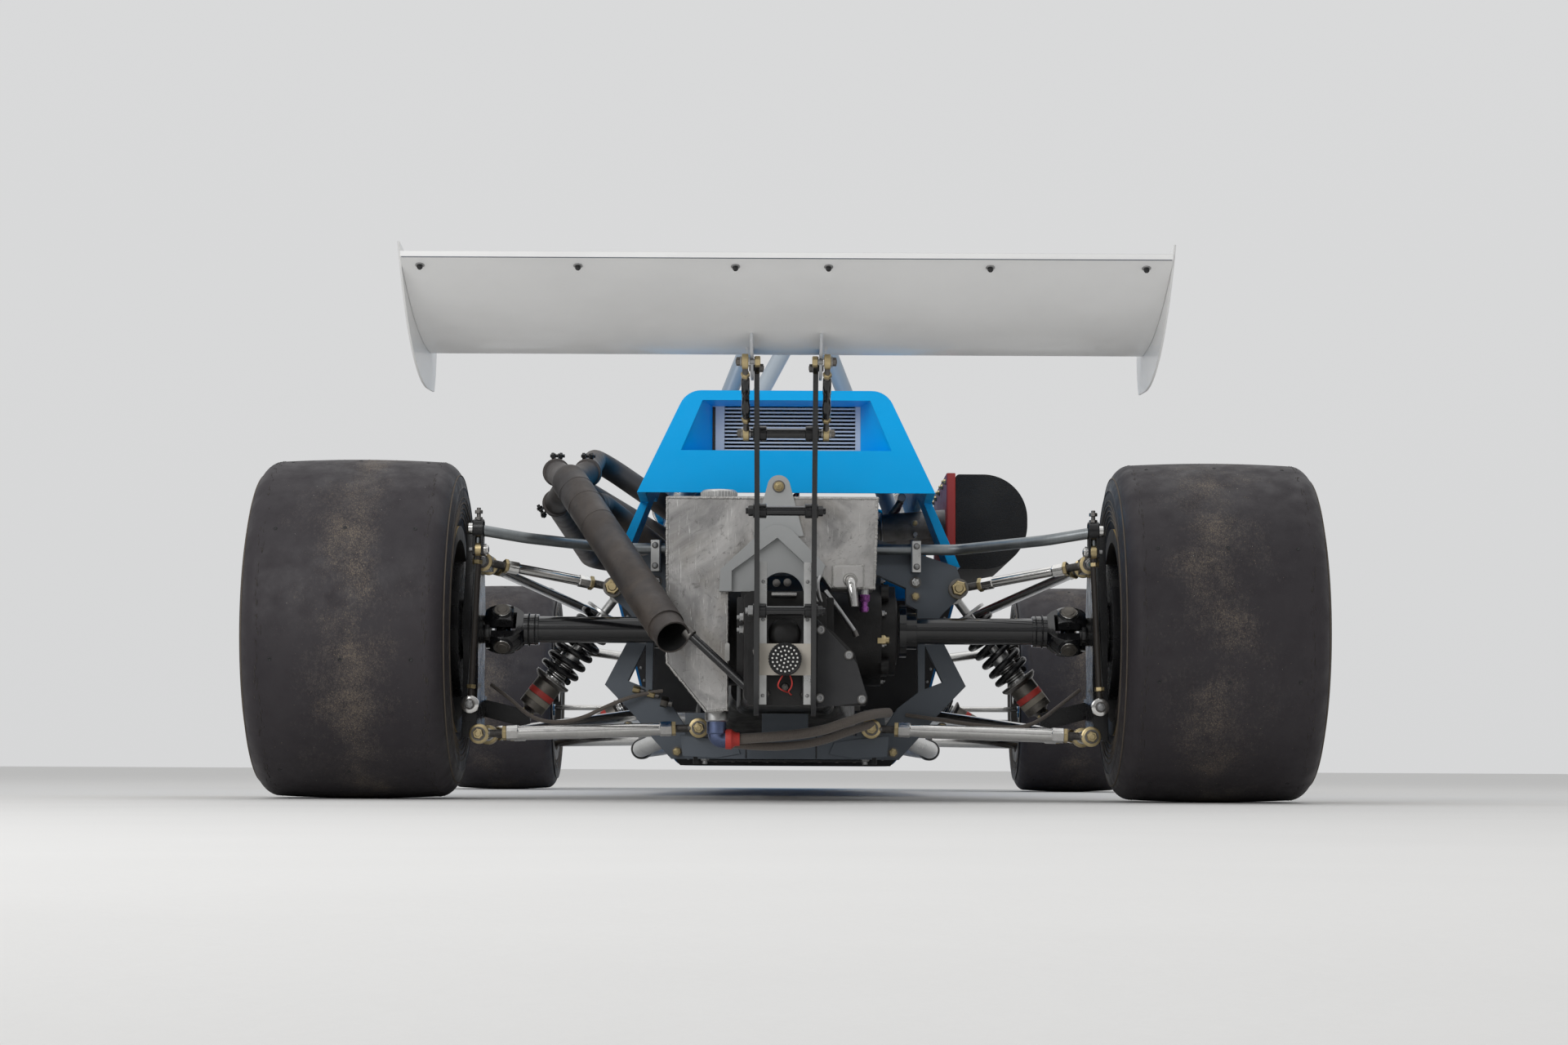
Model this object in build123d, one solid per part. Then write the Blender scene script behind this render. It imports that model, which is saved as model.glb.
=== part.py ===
from build123d import *
from collections import namedtuple
import math
import os

# An open wheel single seat racing car with a mid engine, in millimetres
# X points to the car's right, Y points forward, Z points up, and the ground is Z = 0
# The origin lies on the ground at the middle of the overall length

WHEELBASE = 2440
NOSE_OVERHANG = 780
TAIL_OVERHANG = 1080
REAR_TRACK = 1474
FRONT_TRACK = 1404
SEAT_GAP = 0.3
RUNNING_GAP = 0.5

LENGTH = NOSE_OVERHANG + WHEELBASE + TAIL_OVERHANG
REAR_AXLE_Y = TAIL_OVERHANG - LENGTH / 2
FRONT_AXLE_Y = REAR_AXLE_Y + WHEELBASE

Wheel = namedtuple("Wheel", "tyre_radius tyre_width tread_width rim_width hub_offset disc_radius")
REAR_WHEEL = Wheel(295, 350, 278, 320, 20, 120)
FRONT_WHEEL = Wheel(254, 265, 215, 240, 12, 115)
BEAD_RADIUS = 165
RIM_WALL = 8
RIM_FLANGE = 15
SPOKES = 8
WEB_THICKNESS = 25

TUBE_WALL = 3
SHELL = 4


def at(x, forward, z):
    """A point given by its distance ahead of the rear axle."""
    return Vector(x, REAR_AXLE_Y + forward, z)


def bar(start, end, radius):
    """A round bar from one point to the next."""
    along = end - start
    plane = Plane(origin=start, z_dir=along)
    return plane * Cylinder(radius, along.length, align=(Align.CENTER, Align.CENTER, Align.MIN))


def disc(centre, axis, radius, width):
    """A round disc about a centre, its faces square to the axis."""
    return Plane(origin=centre, z_dir=Vector(*axis)) * Cylinder(radius, width)


def ring(centre, axis, radius, bore, width):
    """A round eye with its bore along the axis."""
    return disc(centre, axis, radius, width) - disc(centre, axis, bore, width)


def block(x, forward, z):
    """A box from three spans, the middle one measured ahead of the rear axle."""
    size = Box(x[1] - x[0], forward[1] - forward[0], z[1] - z[0], align=(Align.MIN,) * 3)
    return Pos(*at(x[0], forward[0], z[0])) * size


def across(points, forward, thickness):
    """A plate square to the car's length, from an outline of x and z, thick towards the tail."""
    plane = Plane(origin=at(0, forward, 0), x_dir=(1, 0, 0), z_dir=(0, -1, 0))
    return extrude(plane * Polygon(*points, align=None), thickness, dir=(0, -1, 0))


def along(points, x, thickness):
    """A plate square to the axles, from an outline of forward distance and z, thick to the right."""
    plane = Plane(origin=at(x, 0, 0), x_dir=(0, 1, 0), z_dir=(1, 0, 0))
    return extrude(plane * Polygon(*points, align=None), thickness, dir=(1, 0, 0))


def tube_path(points, radii, radius):
    """A round bar swept along straight runs joined by arcs."""
    path = FilletPolyline(*points, radius=radii)
    start = Plane(origin=path @ 0, z_dir=path % 0)
    return sweep(start * Circle(radius), path=path)


def both(shape):
    """A piece and its mirror image on the other side of the car."""
    return [shape, mirror(shape, about=Plane.YZ)]


def solids_of(shapes):
    """One flat list of solids from a list of shapes."""
    return [solid for shape in shapes for solid in shape.solids()]


# Body sections, from the tail end of each table to the nose

Section = namedtuple("Section", "forward low high z_low z_high tuck", defaults=[0])
TUCK_SLOPE = 1.12


def body_face(s, inset=0.0, drop=0.0, low_round=20, high_round=40):
    """A trapezoid with rounded corners, square to the car's length."""
    low, high = s.low - inset, s.high - inset
    tuck = s.tuck if s.tuck > inset + 5 else 0
    right = [(low, s.z_low - drop)]
    if tuck:
        right = [(low - tuck, s.z_low - drop), (low, s.z_low - drop + TUCK_SLOPE * tuck)]
    right.append((high, s.z_high - inset))
    outline = Polygon(*right, *[(-x, z) for x, z in reversed(right)], align=None)
    outline = fillet(outline.vertices().group_by(Axis.Y)[0], low_round)
    outline = fillet(outline.vertices().group_by(Axis.Y)[-1], high_round)
    plane = Plane(origin=at(0, s.forward, 0), x_dir=(1, 0, 0), z_dir=(0, -1, 0))
    return plane * outline


def body_loft(sections, **how):
    """A straight sided solid through a table of sections."""
    return loft([body_face(s, **how).face() for s in sections], ruled=True)


def width_at(sections, forward):
    """The half width at the shoulder of a table of sections, at one place along the car."""
    for a, b in zip(sections, sections[1:]):
        if forward <= b.forward:
            share = (forward - a.forward) / (b.forward - a.forward)
            return a.high + share * (b.high - a.high)
    return sections[-1].high


# Monocoque, bodywork and cockpit

TUB_REAR = 900
DASH_SECTION = 1700
TUB_FRONT = WHEELBASE + 160
TUB = [
    Section(TUB_REAR, 268, 344, 60, 400, 54),
    Section(TUB_REAR + 400, 266, 340, 60, 400, 54),
    Section(DASH_SECTION, 260, 304, 60, 390, 50),
    Section(TUB_FRONT, 172, 172, 75, 335, 30),
]
TUB_SIDE = 2
TUB_SIDE_FRONT = 8
TUB_FLOOR = 25
TUB_REAR_WALL = 30
TUB_FRONT_WALL = 25
TUB_ROUND = 25
RACK_FORWARD = WHEELBASE + 105
RACK_Z = 206
RACK_SLOT = 22
FRONT_DAMPER_TOP_Z = 312
FRONT_DAMPER_OUT = 18
PIN_RADIUS = 8

HOOP_FORWARD = TUB_REAR + 50
CROWN = [
    Section(HOOP_FORWARD + 50, TUB[0].high - 4, 215, 400, 590),
    Section(TUB[1].forward, TUB[1].high, 205, 400, 565),
    Section(DASH_SECTION, TUB[2].high, 150, 390, 560),
    Section(TUB_FRONT, TUB[3].high, 105, 335, 392),
]
OPENING_REAR = HOOP_FORWARD + 80
OPENING_FRONT = 1575
OPENING_HALF = 185

NOSE_TIP = WHEELBASE + NOSE_OVERHANG
NOSE = [
    Section(TUB_FRONT + SEAT_GAP, TUB[3].low, 105, 75, 392),
    Section(TUB_FRONT + 300, 200, 150, 85, 290),
    Section(NOSE_TIP, 215, 190, 118, 168),
]
INTAKE_HALF = 135
INTAKE_Z = (128, 158)


def tub():
    """The closed side boxes, floor and bulkheads that the driver sits between."""
    outer = body_loft(TUB, low_round=TUB_ROUND, high_round=8)
    walls = [TUB_SIDE, TUB_SIDE, TUB_SIDE, TUB_SIDE_FRONT]
    cavity = []
    for s, wall in zip(TUB, walls):
        half = s.low - s.tuck - wall
        cavity.append(Section(s.forward, half, half, s.z_low + TUB_FLOOR, s.z_high + 20))
    cavity[0] = cavity[0]._replace(forward=TUB[0].forward + TUB_REAR_WALL)
    cavity[-1] = cavity[-1]._replace(forward=TUB[-1].forward - TUB_FRONT_WALL)
    inner = body_loft(cavity, low_round=10, high_round=8)
    slot = block((-400, 400), (RACK_FORWARD - RACK_SLOT, RACK_FORWARD + RACK_SLOT),
                 (RACK_Z - RACK_SLOT, RACK_Z + RACK_SLOT))
    whole = outer - inner - slot
    side = width_at(TUB, WHEELBASE)
    for turn in (-1, 1):
        for near, far in ((-17, -9.5), (9.5, 17)):
            lug = block((side - 12, side + 34), (WHEELBASE + near, WHEELBASE + far),
                        (FRONT_DAMPER_TOP_Z - 16, FRONT_DAMPER_TOP_Z + 12))
            whole += lug if turn > 0 else mirror(lug, about=Plane.YZ)
        pin_x = turn * (side + FRONT_DAMPER_OUT)
        pin = bar(at(pin_x, WHEELBASE - 17, 0), at(pin_x, WHEELBASE + 17, 0), PIN_RADIUS)
        whole += Pos(0, 0, FRONT_DAMPER_TOP_Z) * pin
    return whole


def crown_skin():
    """The moulded top between the nose and the driver's shoulders, without its opening."""
    lifted = [s._replace(z_low=s.z_low + SEAT_GAP) for s in CROWN]
    outer = body_loft(lifted, low_round=2, high_round=60)
    inner = body_loft(lifted, inset=SHELL, drop=30, low_round=2, high_round=60 - SHELL)
    return outer, inner


def cockpit_surround():
    """The crown with the driver's opening cut through it."""
    outer, inner = crown_skin()
    middle = (OPENING_REAR + OPENING_FRONT) / 2
    opening = RectangleRounded(2 * OPENING_HALF, OPENING_FRONT - OPENING_REAR, 120)
    cut = extrude(Pos(*at(0, middle, 450)) * opening, 300)
    return outer - inner - cut


def nose_cone():
    """A wedge nose, hollow, with a slot at its tip that feeds the radiator."""
    outer = body_loft(NOSE, low_round=20, high_round=20)
    inside = [s for s in NOSE]
    inside[-1] = inside[-1]._replace(forward=inside[-1].forward - 10, low=205, high=180)
    inner = body_loft(inside, inset=SHELL, drop=-SHELL, low_round=16, high_round=16)
    intake = block((-INTAKE_HALF, INTAKE_HALF), (NOSE_TIP - 120, NOSE_TIP + 80), INTAKE_Z)
    return outer - inner - intake


SCREEN_FORWARD = DASH_SECTION
SCREEN_HALF = 165
SCREEN_HEIGHT = 150
SCREEN_THICK = 3


def windscreen():
    """A clear wraparound screen that leans back over the dash."""
    bend = SCREEN_HALF
    ring_face = Circle(bend) - Circle(bend - SCREEN_THICK)
    profile = ring_face - Pos(0, -bend) * Rectangle(4 * bend, 2 * bend)
    base = Plane(origin=at(0, SCREEN_FORWARD - bend, 440)) * profile
    wall = extrude(base, amount=230, dir=(0, -0.35, 1))
    outer, _ = crown_skin()
    lifted = Pos(0, 0, SEAT_GAP) * outer
    reach = (SCREEN_FORWARD - 700, SCREEN_FORWARD + 600)
    top = block((-400, 400), reach, (560 + SCREEN_HEIGHT - 60, 900))
    clear = block((-400, 400), reach, (400, 520))
    pieces = (wall - lifted - top - clear).solids()
    return pieces.sort_by(SortBy.VOLUME)[-1]


HOOP_RADIUS = 17
HOOP_FOOT_X = 285
HOOP_TOP_Z = 985
HOOP_TOP_X = 62
STAY_TOP = at(20, HOOP_FORWARD, HOOP_TOP_Z - 23)
STAY_FOOT = at(-200, 78, 436)


def roll_hoop(frame):
    """The narrow hoop behind the driver's head, with one stay back to the rear frame."""
    deck = TUB[0].z_high
    path = [at(-HOOP_FOOT_X, HOOP_FORWARD, deck), at(-HOOP_TOP_X, HOOP_FORWARD, HOOP_TOP_Z - HOOP_RADIUS),
            at(HOOP_TOP_X, HOOP_FORWARD, HOOP_TOP_Z - HOOP_RADIUS), at(HOOP_FOOT_X, HOOP_FORWARD, deck)]
    hoop = tube_path(path, 55, HOOP_RADIUS)
    stay = bar(STAY_TOP, STAY_FOOT, HOOP_RADIUS - 1)
    feet = [block((side * HOOP_FOOT_X - 24, side * HOOP_FOOT_X + 24), (HOOP_FORWARD - 24, HOOP_FORWARD + 24),
                  (deck, deck + 6)) for side in (-1, 1)]
    below = block((-400, 400), (HOOP_FORWARD - 60, HOOP_FORWARD + 60), (deck - 60, deck))
    whole = (hoop + feet[0] + feet[1] - below) + stay
    return whole - frame


def seat():
    """A reclined one piece seat shell."""
    floor = TUB[0].z_low + TUB_FLOOR + SEAT_GAP
    back = HOOP_FORWARD
    outline = [(back + 12, 560), (back + 35, 572), (back + 292, 128), (back + 550, 112), (back + 550, floor),
               (back + 275, floor)]
    shell = along(outline, -190, 380)
    hollow = along([(back + 50, 600), (back + 312, 140), (back + 570, 128), (back + 570, 600)], -165, 330)
    sides = [(back + 35, 572), (back + 90, 560), (back + 330, 250), (back + 530, 150), (back + 550, 112),
             (back + 292, 128)]
    wings = along(sides, -190, 380)
    return shell + (wings - hollow)


DASH_FORWARD = DASH_SECTION - 60
COLUMN_TOP = at(0, DASH_FORWARD - 110, 470)
COLUMN_END = at(0, RACK_FORWARD - 23, RACK_Z + 16)
COLUMN_AXIS = (COLUMN_END - COLUMN_TOP).normalized()
COLUMN_RADIUS = 10


def dash_panel():
    """The instrument panel across the crown."""
    _, inner = crown_skin()
    inner_gap = Pos(0, 0, -SEAT_GAP) * inner
    plate = block((-260, 260), (DASH_FORWARD, DASH_FORWARD + 6), (425, 560)) & inner_gap
    return plate - bar(COLUMN_TOP, COLUMN_END, COLUMN_RADIUS + 8)


def steering_wheel():
    """A three spoke wheel on its column."""
    plane = Plane(origin=COLUMN_TOP, x_dir=(1, 0, 0), z_dir=COLUMN_AXIS)
    rim = plane * Torus(118, 12)
    hub = plane * Cylinder(28, 20)
    spokes = []
    for angle in (0, 90, 180):
        spoke = Pos(60, 0, 0) * Box(100, 22, 5)
        spokes.append(plane * Rot(0, 0, angle) * spoke)
    column = bar(COLUMN_TOP, COLUMN_END - COLUMN_AXIS * 2, COLUMN_RADIUS)
    return rim + hub + spokes[0] + spokes[1] + spokes[2] + column


RACK_RADIUS = 10
RACK_HOUSING_RADIUS = 19
RACK_HOUSING_HALF = 120
RACK_BAR_HALF = 160
TRACK_ROD_RADIUS = 7


def rack_housing():
    """The rack's tube on the front bulkhead, with the pinion's socket."""
    axis = (1, 0, 0)
    centre = at(0, RACK_FORWARD, RACK_Z)
    body = disc(centre, axis, RACK_HOUSING_RADIUS, 2 * RACK_HOUSING_HALF)
    socket = bar(COLUMN_END - COLUMN_AXIS * 24, centre, 17)
    wall = TUB[-1].forward - TUB_FRONT_WALL - SEAT_GAP
    feet = block((-60, 60), (RACK_FORWARD, wall), (RACK_Z - 12, RACK_Z + 12))
    bore = disc(centre, axis, RACK_RADIUS + RUNNING_GAP, 2 * RACK_HOUSING_HALF)
    shaft = bar(COLUMN_END - COLUMN_AXIS * 60, COLUMN_END + COLUMN_AXIS * 2, COLUMN_RADIUS + RUNNING_GAP)
    return body + socket + feet - bore - shaft


# Front suspension

KINGPIN_X = FRONT_TRACK / 2 - 102
KNUCKLE_Z = (133, 338)
BALL_LOW_Z = 117
BALL_HIGH_Z = 359
BALL_RADIUS = 19
BALL_PIN = 7
ARM_REACH = RACK_FORWARD - WHEELBASE
ARM_X = KINGPIN_X
ARM_THICK = 12
FRONT_STUB = 18
LINK_RADIUS = 11
FRONT_DAMPER_X = KINGPIN_X - 100


def steering_rack():
    """The rack bar and both track rods, whose eyes lie over the steering arms."""
    rods = bar(at(-ARM_X, RACK_FORWARD, RACK_Z), at(ARM_X, RACK_FORWARD, RACK_Z), TRACK_ROD_RADIUS)
    rods += disc(at(0, RACK_FORWARD, RACK_Z), (1, 0, 0), RACK_RADIUS, 2 * RACK_BAR_HALF)
    eyes = [disc(at(side * ARM_X, RACK_FORWARD, RACK_Z), (0, 0, 1), 15, 16) for side in (-1, 1)]
    return rods + eyes[0] + eyes[1]


def upright_front():
    """The right steered upright with its stub bearing, steering arm and caliper."""
    axle = WHEELBASE
    radius = FRONT_WHEEL.tyre_radius
    post = block((KINGPIN_X - 15, KINGPIN_X + 15), (axle - 20, axle + 20), KNUCKLE_Z)
    housing = bar(at(KINGPIN_X - 32, axle, radius), at(KINGPIN_X + 22, axle, radius), 36)
    arm_top = RACK_Z - 8 - RUNNING_GAP
    arm_outline = [(KINGPIN_X - 15, axle), (ARM_X - 14, axle + ARM_REACH), (ARM_X + 14, axle + ARM_REACH),
                   (KINGPIN_X + 15, axle)]
    plane = Plane(origin=at(0, 0, arm_top - ARM_THICK))
    arm = extrude(plane * Polygon(*arm_outline, align=None), ARM_THICK)
    tip = disc(at(ARM_X, axle + ARM_REACH, arm_top - ARM_THICK / 2), (0, 0, 1), 14, ARM_THICK)
    pins = bar(at(KINGPIN_X, axle, BALL_LOW_Z - 11), at(KINGPIN_X, axle, BALL_HIGH_Z + 11), BALL_PIN)
    whole = post + housing + arm + tip + pins
    whole += caliper(FRONT_TRACK / 2, axle, FRONT_WHEEL, -1, KINGPIN_X - 10)
    bore = bar(at(KINGPIN_X - 40, axle, radius), at(KINGPIN_X + 40, axle, radius), FRONT_STUB + RUNNING_GAP)
    return whole - bore


CALIPER_HALF = 46
DISC_THICK = 14
DISC_SETBACK = 50
MOVING_GAP = 5


def disc_span(centre_x, wheel):
    """Where the brake disc lies across the car, for the right side."""
    inner = centre_x + wheel.hub_offset - DISC_SETBACK - DISC_THICK
    return inner - 20, inner - 20 + DISC_THICK


def caliper(centre_x, axle, wheel, side, root_x):
    """A caliper that straddles the disc ahead of the axle (side 1) or behind it (side -1)."""
    low, high = disc_span(centre_x, wheel)
    reach = wheel.disc_radius
    near, far = reach - 36, reach + 20
    z = (wheel.tyre_radius - CALIPER_HALF, wheel.tyre_radius + CALIPER_HALF)

    def span(a, b):
        return (axle + side * a, axle + side * b) if side > 0 else (axle - b, axle - a)

    body = block((low - MOVING_GAP - 14, high + MOVING_GAP + 14), span(near, far), z)
    slot = block((low - MOVING_GAP, high + MOVING_GAP), span(near - 1, reach + MOVING_GAP + 1),
                 (z[0] - 1, z[1] + 1))
    mount = block((root_x, low - MOVING_GAP), span(near, far - 16), (z[0] + 26, z[1] - 26))
    web = block((root_x, root_x + 16), span(0, near + 10), (z[0] + 26, z[1] - 26))
    return body - slot + mount + web


def hub(centre_x, axle, wheel, stub, inner_x):
    """The turning stub axle with its brake disc, drive flange and nut, for the right side."""
    z = wheel.tyre_radius
    web = centre_x + wheel.hub_offset
    low, high = disc_span(centre_x, wheel)
    shaft = bar(at(inner_x, axle, z), at(web + WEB_THICKNESS + 22, axle, z), stub)
    rotor = bar(at(low, axle, z), at(high, axle, z), wheel.disc_radius)
    bell = bar(at(low, axle, z), at(web - SEAT_GAP, axle, z), 58)
    nut_start = web + WEB_THICKNESS + SEAT_GAP
    nut = Plane(origin=at(nut_start, axle, z), z_dir=(1, 0, 0)) * extrude(RegularPolygon(stub + 14, 6), 18)
    return shaft + rotor + bell + nut


def wishbone(z_outer, z_inner, spread, plate):
    """A right hand front wishbone from its ball housing to the tub's side."""
    axle = WHEELBASE
    outer = at(KINGPIN_X, axle, z_outer)
    whole = disc(outer, (0, 0, 1), BALL_RADIUS, 18)
    for side in (-1, 1):
        forward = axle + side * spread
        wall_x = width_at(TUB, forward)
        whole += bar(outer, at(wall_x - 20, forward, z_inner), LINK_RADIUS)
        whole += bar(at(wall_x + 12, forward - 14, z_inner), at(wall_x + 12, forward + 14, z_inner), 17)
    if plate:
        x = FRONT_DAMPER_X
        seat = FRONT_DAMPER_LOW_Z - 15 - SEAT_GAP
        whole += block((x - 14, x + 14), (axle - 40, axle + 40), (z_outer - 5, seat))
    whole -= disc(outer, (0, 0, 1), BALL_PIN + RUNNING_GAP, 60)
    return whole


FRONT_DAMPER_LOW_Z = 150


def front_wishbones(tub_solid):
    """Upper and lower wishbones on both sides, trimmed to the tub."""
    low = wishbone(BALL_LOW_Z, 125, 140, True) - tub_solid
    high = wishbone(BALL_HIGH_Z, 300, 130, False) - tub_solid
    pieces = [max(shape.solids(), key=lambda s: s.volume) for shape in (low, high)]
    return solids_of([side for piece in pieces for side in both(piece)])


# Rear frame, links and uprights

FRAME_FORWARD = 100
FRAME_THICK = 40
FRAME_OUTER = [(140, 467), (301, 412), (318, 367), (279, 330), (262, 310), (318, 201), (265, 146), (233, 107),
               (200, 71)]
FRAME_INNER = [(120, 415), (212, 374), (212, 345), (232, 336), (234, 190), (198, 162), (165, 112)]
FRAME_TOP_Z = 480
FRAME_HOLE = [(246, 272), (277, 208), (246, 196)]
CROSS_HALF = 150
CROSS_REAR = -60
UPRIGHT_X = (REAR_TRACK / 2 - 207, REAR_TRACK / 2 - 181)
LINK_EYE = 19
LINK_EYE_WIDTH = 18
UPPER_LINK_RADIUS = 9
LINK_NECK = 7
LINK_NECK_LENGTH = 42
UPPER_INNER = (304, 372)
LOWER_INNER = (150, 112 - 16)
ARB_RADIUS = 9.5
ARB_HOLD_X = 228
RAIL_RADIUS = 14


def mirrored_outline(points):
    """A closed outline from the right hand points, top to bottom, and their mirror images."""
    return points + [(-x, z) for x, z in reversed(points)]


LOWER_LINK_Z = 112
LOWER_EYE_X = UPRIGHT_X[0] - 5
LOWER_IN_X = 148
LOWER_IN_Z = 124
EAR_FORWARD = 118
EAR_BOSS = 3
DAMPER_FORWARD = 118
DAMPER_TOP = (300, 362)
DAMPER_LOW = (UPRIGHT_X[0] - 64, 143)
EYE_PIN = 12


def rear_frame():
    """The folded plate bulkhead around the gearbox, with its rails to the tub."""
    ring_plate = across(mirrored_outline([(0, FRAME_TOP_Z)] + FRAME_OUTER)[:-1], FRAME_FORWARD, FRAME_THICK)
    ring_plate -= across(mirrored_outline(FRAME_INNER), FRAME_FORWARD, FRAME_THICK)
    for side in (-1, 1):
        ring_plate -= across([(side * x, z) for x, z in FRAME_HOLE], FRAME_FORWARD, FRAME_THICK)
    cross = block((-CROSS_HALF, CROSS_HALF), (CROSS_REAR, FRAME_FORWARD), (71, 112))
    mount = block((-40, 40), (CROSS_REAR, CROSS_REAR + 40), (110, 150 - SEAT_GAP))
    whole = ring_plate + cross + mount
    rear_face = FRAME_FORWARD - FRAME_THICK
    for side in (-1, 1):
        x, z = UPPER_INNER
        whole += bar(at(side * x, rear_face, z), at(side * x, rear_face - LINK_EYE_WIDTH - 8, z), PIN_RADIUS)
        x, z = DAMPER_TOP
        whole += bar(at(side * x, FRAME_FORWARD, z), at(side * x, FRAME_FORWARD + 32, z), PIN_RADIUS)
        ear = block((side * LOWER_IN_X - 24, side * LOWER_IN_X + 24), (CROSS_REAR, EAR_FORWARD), (80, 150))
        whole += ear - block((-400, 400), (CROSS_REAR + 30, FRAME_FORWARD - FRAME_THICK), (60, 160))
        rear_end, front_end = CROSS_REAR - LINK_EYE_WIDTH - 8, EAR_FORWARD + EAR_BOSS + LINK_EYE_WIDTH + 8
        low_in = side * LOWER_IN_X
        whole += bar(at(low_in, rear_end, LOWER_IN_Z), at(low_in, front_end, LOWER_IN_Z), PIN_RADIUS)
        whole += bar(at(low_in, EAR_FORWARD, LOWER_IN_Z), at(low_in, EAR_FORWARD + EAR_BOSS, LOWER_IN_Z), 15)
        hold = block((side * ARB_HOLD_X - 8, side * ARB_HOLD_X + 8), (22, rear_face), (400, 455))
        whole += hold - disc(at(side * ARB_HOLD_X, 35, 440), (1, 0, 0), ARB_RADIUS + RUNNING_GAP, 40)
        tub_face = TUB[0].forward - SEAT_GAP
        whole += bar(at(side * 195, FRAME_FORWARD - 20, 96), at(side * 195, tub_face, 110), RAIL_RADIUS)
        whole += bar(at(side * 270, FRAME_FORWARD - 20, 396), at(side * 290, tub_face, 370), RAIL_RADIUS)
        for x, z in ((195, 110), (284, 366)):
            whole += block((side * x - 22, side * x + 22), (tub_face - 10, tub_face), (z - 22, z + 22))
    return whole - block((-400, 400), (tub_face, tub_face + 40), (0, 500))


UPRIGHT_HOUSING = 52
SHIELD_RADIUS = 118
SHIELD_X = (UPRIGHT_X[1] + 4, UPRIGHT_X[1] + 48)
UPRIGHT_OUTLINE = [(-24, 462), (24, 462), (40, 400), (66, 330), (66, 260), (58, 210), (70, 170), (70, 106),
                   (-70, 106), (-70, 170), (-58, 210), (-66, 260), (-66, 330), (-40, 400)]
REAR_STUB = 25
DROP_X = UPRIGHT_X[0] + 8
DROP_Z = 162
UPPER_EYE = (UPRIGHT_X[0] - 5, 410)
UPPER_FORWARD = 45


def upright_rear():
    """The right rear upright with its bearing, link pins, damper foot and caliper."""
    z = REAR_WHEEL.tyre_radius
    low, high = UPRIGHT_X
    plate = along(UPRIGHT_OUTLINE, low, high - low)
    housing = bar(at(low, 0, z), at(disc_span(REAR_TRACK / 2, REAR_WHEEL)[0] - 40, 0, z), UPRIGHT_HOUSING)
    shield = bar(at(SHIELD_X[0], 0, z), at(SHIELD_X[1], 0, z), SHIELD_RADIUS)
    shield -= bar(at(SHIELD_X[0] + 6, 0, z), at(SHIELD_X[1] + 1, 0, z), SHIELD_RADIUS - 5)
    eye_x, eye_z = UPPER_EYE
    lug = block((eye_x - 11, low + 2), (-UPPER_FORWARD + 9, UPPER_FORWARD - 9), (eye_z - 13, eye_z + 13))
    reach = LINK_EYE_WIDTH + 6
    low_rear = at(LOWER_EYE_X, -70 - reach, LOWER_LINK_Z)
    low_front = at(LOWER_EYE_X, 70 + 2 * reach, LOWER_LINK_Z)
    pins = bar(low_rear, low_front, PIN_RADIUS)
    pins += bar(at(eye_x, -UPPER_FORWARD - 20, eye_z), at(eye_x, UPPER_FORWARD + 20, eye_z), PIN_RADIUS)
    pin_x, pin_z = DAMPER_LOW
    foot_outline = [(pin_x + 4, 128), (high, 150), (high, 180), (pin_x + 4, 160), (pin_x - 14, 155),
                    (pin_x - 14, 132)]
    foot = across(foot_outline, DAMPER_FORWARD - 12, 10)
    foot += block((low, high), (60, DAMPER_FORWARD - 12), (150, 180))
    foot += bar(at(pin_x, DAMPER_FORWARD - 14, pin_z), at(pin_x, DAMPER_FORWARD + 12, pin_z), PIN_RADIUS)
    drop = bar(at(DROP_X, -40, DROP_Z), at(DROP_X, -122, DROP_Z), 6)
    whole = plate + housing + shield + lug + pins + foot + drop
    whole += caliper(REAR_TRACK / 2, 0, REAR_WHEEL, 1, UPRIGHT_X[0])
    return whole - bar(at(low - 30, 0, z), at(high + 104, 0, z), REAR_STUB + RUNNING_GAP)


def link(outer, inner, radius, plain_inner=False):
    """A tubular link with an eye at each end, its pins along the car."""
    unit = (inner - outer).normalized()
    ends = [outer] if plain_inner else [outer, inner]
    whole = bar(outer, inner, LINK_NECK)
    inner_end = inner if plain_inner else inner - unit * LINK_NECK_LENGTH
    whole += bar(outer + unit * LINK_NECK_LENGTH, inner_end, radius)
    for end in ends:
        whole += disc(end, (0, 1, 0), LINK_EYE, LINK_EYE_WIDTH)
    for end in ends:
        whole -= disc(end, (0, 1, 0), PIN_RADIUS + SEAT_GAP, LINK_EYE_WIDTH + 40)
    return max(whole.solids(), key=lambda s: s.volume)


def rear_links():
    """Upper and lower links and the long radius rods, on both sides."""
    half = LINK_EYE_WIDTH / 2 + SEAT_GAP
    rear_face = FRAME_FORWARD - FRAME_THICK
    tub_face = TUB[0].forward - SEAT_GAP
    pieces = [
        link(at(LOWER_EYE_X, -70 - half, LOWER_LINK_Z),
             at(LOWER_IN_X, CROSS_REAR - half, LOWER_IN_Z), LINK_RADIUS),
        link(at(LOWER_EYE_X, 70 + half, LOWER_LINK_Z),
             at(LOWER_IN_X, EAR_FORWARD + EAR_BOSS + half, LOWER_IN_Z), LINK_RADIUS),
        link(at(UPPER_EYE[0], -UPPER_FORWARD - half, UPPER_EYE[1]),
             at(UPPER_INNER[0], rear_face - half, UPPER_INNER[1]), UPPER_LINK_RADIUS),
        rod(at(UPPER_EYE[0], UPPER_FORWARD + half, UPPER_EYE[1]), at(288, tub_face, 322), UPPER_LINK_RADIUS),
        rod(at(LOWER_EYE_X, 70 + 3 * half + 1, LOWER_LINK_Z), at(255, tub_face, 168), LINK_RADIUS),
    ]
    return solids_of([side for piece in pieces for side in both(piece)])


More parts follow.
